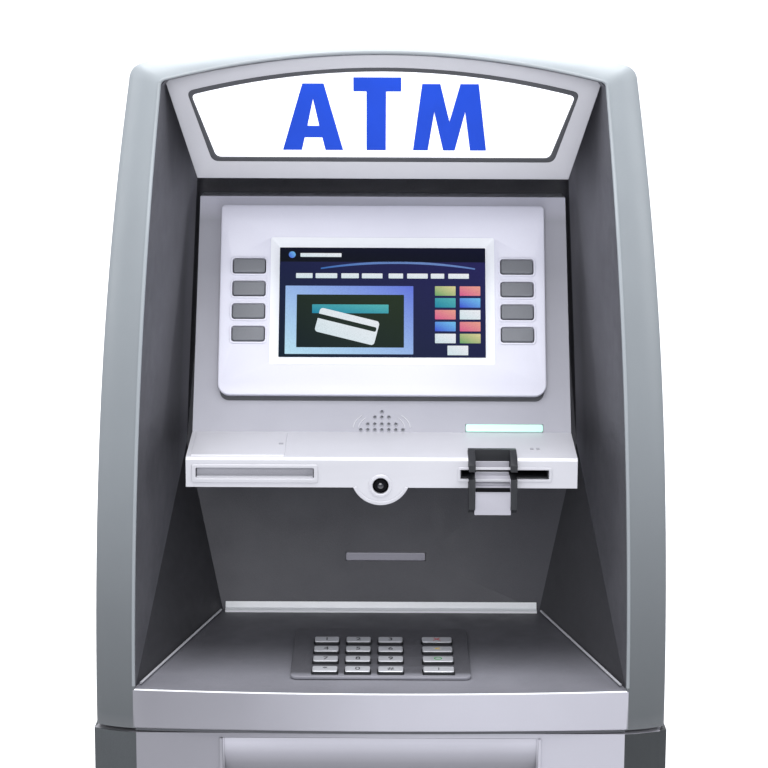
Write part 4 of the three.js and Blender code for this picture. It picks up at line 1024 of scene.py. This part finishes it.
def camera_boss():
    """The rim of the boss, and the camera's rim, seat and lens from (radius, depth) profiles."""
    outer = arc(LENS.x, LENS.boss_z, LENS.boss + 0.3, 204, 132, 40)
    inner = arc(LENS.x, LENS.boss_z, LENS.boss - 2.2, 336, -132, 40)
    add("camera_boss_rim", plate([outer + inner], 19.3, 20.6, 0.4), "pale_moulding")
    rim = [(5.7, 21.5), (5.9, 19.6), (6.7, 19.1), (8.0, 19.3), (8.6, 20.2), (5.7, 21.5)]
    seat = [(0, 20.3), (4.5, 20.3), (4.5, 20.9), (0, 20.9)]
    glass = [(0, 19.3), (1.2, 19.4), (2.1, 19.8), (2.4, 20.35), (0, 20.4)]
    for name, profile, steps, look in (("camera_hole_rim", rim, 48, "pale_moulding"),
                                       ("camera_seat", seat, 40, "legend_black"),
                                       ("camera_lens", glass, 40, "lens_glass")):
        add(name, shifted(lathe(profile, steps), LENS.x, 0, LENS.z), look)
    refine("camera_module", 0.4, look="legend_black")
    refine("speaker", 0.3)


# --- keypad
def pin_pad():
    deep = PIN_KEY.deep + 1
    holes = [centred(x, y, wide + 1, deep, 1.4, 4) for y in PIN_ROWS for x, wide in PIN_COLUMNS]
    edge = rounded(-PIN_PLATE.half, PIN_PLATE.half, PIN_PLATE.front, PIN_PLATE.rear, 5, 10)
    # The plate's finish has painted light on its front margin and painted shade behind.
    add("pin_plate", plate([edge] + holes, 0.3, PIN_PLATE.proud, 0.5, "up"), "plate_grey", space=DECK,
        stands_for=("pin_pad_frame",))
    boxes = ((-60, 60, -20, -5), (-60, -56, -5, 1), (56, 60, -5, 1))
    shell = merged([slab(x0, x1, 26, 119, z0, z1) for x0, x1, z0, z1 in boxes])
    add("pin_pad_box", shell, "black_plastic", space=DECK, soft=0.6)


def pin_keys():
    marks = {"X": "legend_red", "<": "legend_yellow", "O": "legend_green"}
    for row, y in enumerate(PIN_ROWS):
        for column, (x, wide) in enumerate(PIN_COLUMNS):
            node = f"pin_key_{row + 1}{column + 1}"
            outline = centred(x, y, wide, PIN_KEY.deep, 1.5, 5)
            cap = plate([outline], PIN_KEY.bottom, PIN_KEY.top, 1.0, "up")
            piece = add(node + "_cap", cap, "metal_keycap", node, DECK, stands_for=(node,))
            second_look(piece, "black_plastic", lambda middle, normal: normal.z < 0.35)
            sign = PIN_SIGNS[row][column]
            text = shifted(lettering(sign, 8.2), x, y, PIN_KEY.top)
            add(node + "_sign", text, marks.get(sign, "legend"), node, DECK)


# --- lower cabinet
def tray():
    """The tray's bowl: its roof curves in and its floor curves back out, between two cheeks."""
    wall, low, high, depth = 2.5, TRAY.bottom, TRAY.top, TRAY.depth
    reach = depth - wall - 1
    turns = [radians(90 * i / 24) for i in range(25)]
    roof = [(reach * (1 - cos(a)), high - wall - 48 * sin(a)) for a in turns]
    floor = [(reach * (1 - cos(a)), low + wall + 42 * sin(a)) for a in turns]
    slot_low, slot_high = 849, 875
    upper = [(reach, slot_high), (depth, slot_high), (depth, high), (0.2, high), (0.2, high - wall)]
    lower = [(reach, slot_low), (depth, slot_low), (depth, low), (0.2, low), (0.2, low + wall)]
    side = TRAY.half - wall
    parts = [plate([shape], -side, side, 0.1, "side") for shape in (roof[1:] + upper, floor[1:] + lower)]
    beside = ((-side, -85), (85, side))
    parts += [slab(x0, x1, reach, depth, slot_low - 1, slot_high + 1) for x0, x1 in beside]
    edge = [(0.2, low), (depth, low), (depth, high), (0.2, high)]
    parts += [plate([edge], x0, x1, 0.5, "side") for x0, x1 in ((-TRAY.half, -side), (side, TRAY.half))]
    # The bowl's finish is painted shade, darker further down.
    add("tray_bowl", merged(parts), "tray_silver", "safe_door", stands_for=("cash_tray",))


def lower_front():
    # The cover's front takes the lip's painted highlight, lightest just right of the middle.
    cover = refine("door_cover", 0, 25, "lip_silver")
    flat_faces(cover, lambda normal: abs(normal.y) > 0.999)
    # Painted shade: the cover's side bands take a darker copy of the silver.
    second_look(cover, "band_silver", lambda middle, normal: abs(middle.x) > OPENING.half)
    # The tray's edge beads take the same painted highlight.
    for name, x in (("left", -TRAY.half), ("right", TRAY.half)):
        edge = bead(((x, -0.1, TRAY.bottom), (x, -0.1, TRAY.top)), 1.3)
        add("tray_edge_" + name, edge, "lip_silver", "safe_door")
    tray()
    refine("cash_flap", 0.4)
    w = LOCK_WINDOW
    loops = [rounded(w.left - 5, w.right + 5, w.low - 5, w.high + 5, 6),
             rounded(w.left, w.right, w.low, w.high, 2)]
    add("lock_window_frame", plate(loops, -1.4, 0.6, 0.6), "black_plastic", "safe_door")


def round_dial(parts, y):
    """Parts set out evenly round the dial's axis."""
    around = [spun(part, 2 * pi * i / len(parts), "Y") for i, part in enumerate(parts)]
    return shifted(merged(around), DIAL.x, y, DIAL.z)


def dial():
    refine("safe_handle", 0.9, 30)
    refine("lock_dial", 0.5, 30)
    lengths = [2.6 if i % 5 else 4.6 for i in range(50)]
    ticks = [slab(-0.3, 0.3, 34.4, 36, DIAL.rim - long, DIAL.rim) for long in lengths]
    add("dial_marks", round_dial(ticks, 1.2), "white_moulding", "dial")
    ribs = [slab(-0.8, 0.8, 21.5, 32.5, 16.2, 17.9) for _ in range(24)]
    add("dial_grip", round_dial(ribs, 0), "black_plastic", "dial", soft=0.25)


# --- rear of the machine
def louvres():
    lips = []
    for x in (-110, 0):
        for i in range(7):
            z = 1270 + 12 * i
            hood_shape = [(548.4, z + 3.4), (550.9, z + 3.2), (550.9, z + 1.2), (549, z + 2.2)]
            lips.append(shifted(plate([hood_shape], -41, 41, 0.1, "side"), x))
    add("louvre_lips", merged(lips), "painted_steel", "root")


def fan_guard():
    y = 549.2
    wires = [ring(r, 0.85, y) for r in (8, 15, 22, 29, 36)]
    for i in range(4):
        spoke = bead(((0, 0, 5), (0, 0, 39)), 0.9)
        wires.append(shifted(spun(spoke, pi / 4 + i * pi / 2, "Y"), 0, y))
    guard = shifted(merged(wires), FAN.x, 0, FAN.z)
    add("fan_guard", guard, "bright_steel", "root")
    frame_loops = [rounded(-42, 42, -42, 42, 5), circle(0, 0, 37.5, 64)]
    arms = [spun(slab(-2.5, 2.5, 514.5, 517.5, 0, 40), radians(45 + 90 * i), "Y") for i in range(4)]
    casing = merged([plate(frame_loops, 519, 547.5, 0.6), rod(14, 514, 519.5)] + arms)
    add("fan_casing", shifted(casing, FAN.x, 0, FAN.z), "black_plastic", "root")
    refine("fan_rotor", 0.4)


def rear_screws(name, places, radius, height):
    """Socket-head screws at (x, z) places on the rear panel, their heads standing out by so much."""
    socket = 0.4 * height
    profile = [(0, socket), (radius * 0.42, socket), (radius * 0.46, height), (radius * 0.8, height),
               (radius, 0.7 * height), (radius, -0.2), (0, -0.2)]
    parts = [shifted(lathe(profile, 20), x, REAR_PANEL, z) for x, z in places]
    add(name, merged(parts), "bright_steel", "root")


def rear():
    refine("rear_housing", 1.2, 30)
    louvres()
    fan_guard()
    edge = [(x, z) for x in (-182, 182) for z in (965, 1045, 1125, 1200)]
    edge += [(x, 952) for x in (-90, 0, 90)] + [(x, 1392) for x in (-140, -50, 50, 140)]
    rear_screws("rear_screws", edge, 3.4, 0.34)
    apart = (-FAN.screws, FAN.screws)
    corners = [(FAN.x + dx, FAN.z + dz) for dx in apart for dz in apart]
    rear_screws("fan_screws", corners, 2.6, 0.312)
    refine("power_inlet", 0.4)
    refine("controller_unit", 0.8)
    refine("power_supply", 0.8)


# The chips on the controller board: (x, z, width, height).
CHIPS = ((-130, 1010, 34, 34), (-80, 1030, 22, 10), (-80, 1010, 22, 10), (-40, 1000, 18, 44),
         (-132, 960, 60, 9), (-60, 960, 40, 9), (-8, 958, 22, 14))


def electronics():
    board = plate([rounded(-150, 20, 950, 1070, 3)], 294.5, 296.1, 0.1)
    add("controller_board", board, "board_green", "root")
    chips = [slab(x, x + w, 291.5, 294.6, z, z + h) for x, z, w, h in CHIPS]
    add("controller_chips", merged(chips), "black_plastic", "root", soft=0.4)
    cans = [shifted(rod(4.2, 284, 294.6), x, 0, 985) for x in (-130, -118, -106, -94)]
    add("controller_capacitors", merged(cans), "bright_steel", "root")
    posts = [shifted(rod(2.6, 296, 300.2), x, 0, z) for x in (-145, 15) for z in (955, 1065)]
    add("board_posts", merged(posts), "brass", "root")


# --- hinges and note transport
def upright_rod(radius, z0, z1, x, y):
    return shifted(spun(rod(radius, 0, z1 - z0, 0.6, 24), pi / 2, "X"), x, y, z0)


def hinge_knuckles():
    """The knuckles that the hood and the door carry, above and below the fixed ones."""
    parts = []
    for z0, z1 in ((948, 959.4), (1190.6, 1202)):
        parts += [upright_rod(3.9, z0, z1, -203.6, 270), slab(-204.6, -188, 262, 266, z0 + 0.5, z1 - 0.5)]
    add("hood_knuckles", merged(parts), "bright_steel", soft=0.3)
    parts = []
    for z0, z1 in ((66, 79.4), (900.6, 914)):
        parts += [upright_rod(3.6, z0, z1, -204, 57), slab(-204, -196.5, 50.5, 55.4, z0 + 0.5, z1 - 0.5)]
    add("door_knuckles", merged(parts), "bright_steel", "safe_door", soft=0.3)


def belt(x, y0, z0, y1, z1, radius):
    """A flat belt round two rollers that lie along X."""
    lean = degrees(atan2(z1 - z0, y1 - y0))
    loops = []
    for r in (radius + 1.4, radius):
        loops.append(arc(y1, z1, r, lean - 90, 180, 14) + arc(y0, z0, r, lean + 90, 180, 14))
    return shifted(plate(loops, -7, 7, 0.2, "side"), x)


def note_transport():
    """Rollers and belts that carry notes up from the cassette and forward to the door."""
    axles = ((165, 866), (300, 866), (432, 866), (432, 680))
    rollers = []
    for y, z in axles:
        rollers.append(shifted(spun(rod(3, -146, 146), pi / 2, "Z"), 0, y, z))
        rollers += [shifted(spun(rod(8, -9, 9), pi / 2, "Z"), x, y, z) for x in (-60, 0, 60)]
    add("note_rollers", merged(rollers), "bright_steel", "root")
    runs = []
    for x in (-60, 0, 60):
        runs += [belt(x, 165, 866, 432, 866, 8.1), belt(x + 16, 432, 680, 432, 866, 8.1)]
    add("note_belts", merged(runs), "rubber", "root")


# --- everything else
# CAD solids that need nothing but softened edges: name -> the edge's width.
PLAIN = {
    "plinth": 0.8, "safe_body": 1.5, "safe_door": 1.0, "dispenser": 0.8, "cash_cassette": 1.2,
    "bolt_bar": 0.8, "safe_hinge": 0.5, "fascia_hinge": 0.5, "fascia_lock": 0.5,
}


def anchors():
    heads = []
    for x in (-140, 140):
        for y in (110, 470):
            hexagon = circle(x, y, 9, 6)
            heads.append(plate([circle(x, y, 14)], 46.1, 48.4, 0.3, "up"))
            heads.append(plate([hexagon], 48.4, 56, 0.8, "up"))
    add("anchor_bolts", merged(heads), "bright_steel", "root")


def upper_lock():
    skin = hood_half(1180)
    collar = lathe([(8.6, 0), (11.5, 0), (12.6, 0.8), (12.9, -0.6), (8.6, -0.6)], 48)
    collar = shifted(spun(collar, -pi / 2, "Z"), skin + 0.5, 235, 1180)
    add("lock_collar", collar, "bright_steel")


# --- studio
def stage_floor():
    """A white floor that sweeps up into the wall behind."""
    front, turn, radius, top = -4, 4.5, 2.2, 6
    sweep = [radians(d) for d in range(6, 91, 6)]
    profile = [(front, 0), (turn, 0)] + [(turn + radius * sin(a), radius * (1 - cos(a))) for a in sweep]
    profile.append((turn + radius, top))
    bm, _ = woven([[(x, y, z) for x in (-9, 9)] for y, z in profile], False)
    mesh = smooth_mesh("studio_floor", bm)
    mesh.materials.append(moulding("studio_floor", (0.9, 0.9, 0.92), 0.7, wear=0).material)
    floor = placed("studio_floor", mesh)


def softbox(name, place, target, size, watts):
    data = bpy.data.lights.new(name, "AREA")
    data.shape = "RECTANGLE"
    data.size, data.size_y = size
    data.energy = watts
    lamp = placed(name, data)
    lamp.location = place
    lamp.rotation_euler = (Vector(target) - Vector(place)).to_track_quat("-Z", "Y").to_euler()


def studio():
    stage_floor()
    softbox("top_light", (0, -0.4, 3.4), (0, 0, 1.2), (2.6, 2.2), 110)
    softbox("front_light", (-0.3, -3.6, 2.5), (0, 0, 1.1), (2.4, 1.6), 55)
    softbox("right_light", (3.0, -1.6, 1.9), (0, 0, 1.1), (1.4, 2.0), 24)
    softbox("left_light", (-3.0, -1.2, 1.9), (0, 0, 1.1), (1.4, 2.0), 22)
    softbox("backdrop_light", (0, 2.6, 3.6), (0, 7.5, 1.6), (5.0, 1.6), 260)
    world = bpy.data.worlds.new("studio")
    world.use_nodes = True
    backdrop = world.node_tree.nodes["Background"].inputs
    backdrop["Color"].default_value = (0.9, 0.93, 1.0, 1)
    backdrop["Strength"].default_value = 0.6
    bpy.context.scene.world = world
    bpy.context.scene.view_settings.view_transform = "Standard"


# The photo's camera, in metres and degrees.
EYE = (0, -1.771, 1.450)
LOOKING_DOWN = 9.8
ROLL = 0.25


def view():
    data = bpy.data.cameras.new("photo_view")
    data.lens = 101.6
    data.sensor_width = 36
    data.shift_x = 0.0026
    camera = placed("photo_view", data)
    look = Matrix.Rotation(radians(90 - LOOKING_DOWN), 4, "X") @ Matrix.Rotation(radians(ROLL), 4, "Z")
    camera.matrix_world = Matrix.Translation(EYE) @ look
    bpy.context.scene.camera = camera


view()
studio()
hood()
opening_bead()
lip()
recess()
header()
pod()
bezel()
function_keys()
screen()
card_reader()
receipt()
camera_boss()
pin_pad()
pin_keys()
lower_front()
dial()
rear()
electronics()
for plain_node, edge_size in PLAIN.items():
    refine(plain_node, edge_size, 30)
hinge_knuckles()
note_transport()
anchors()
upper_lock()
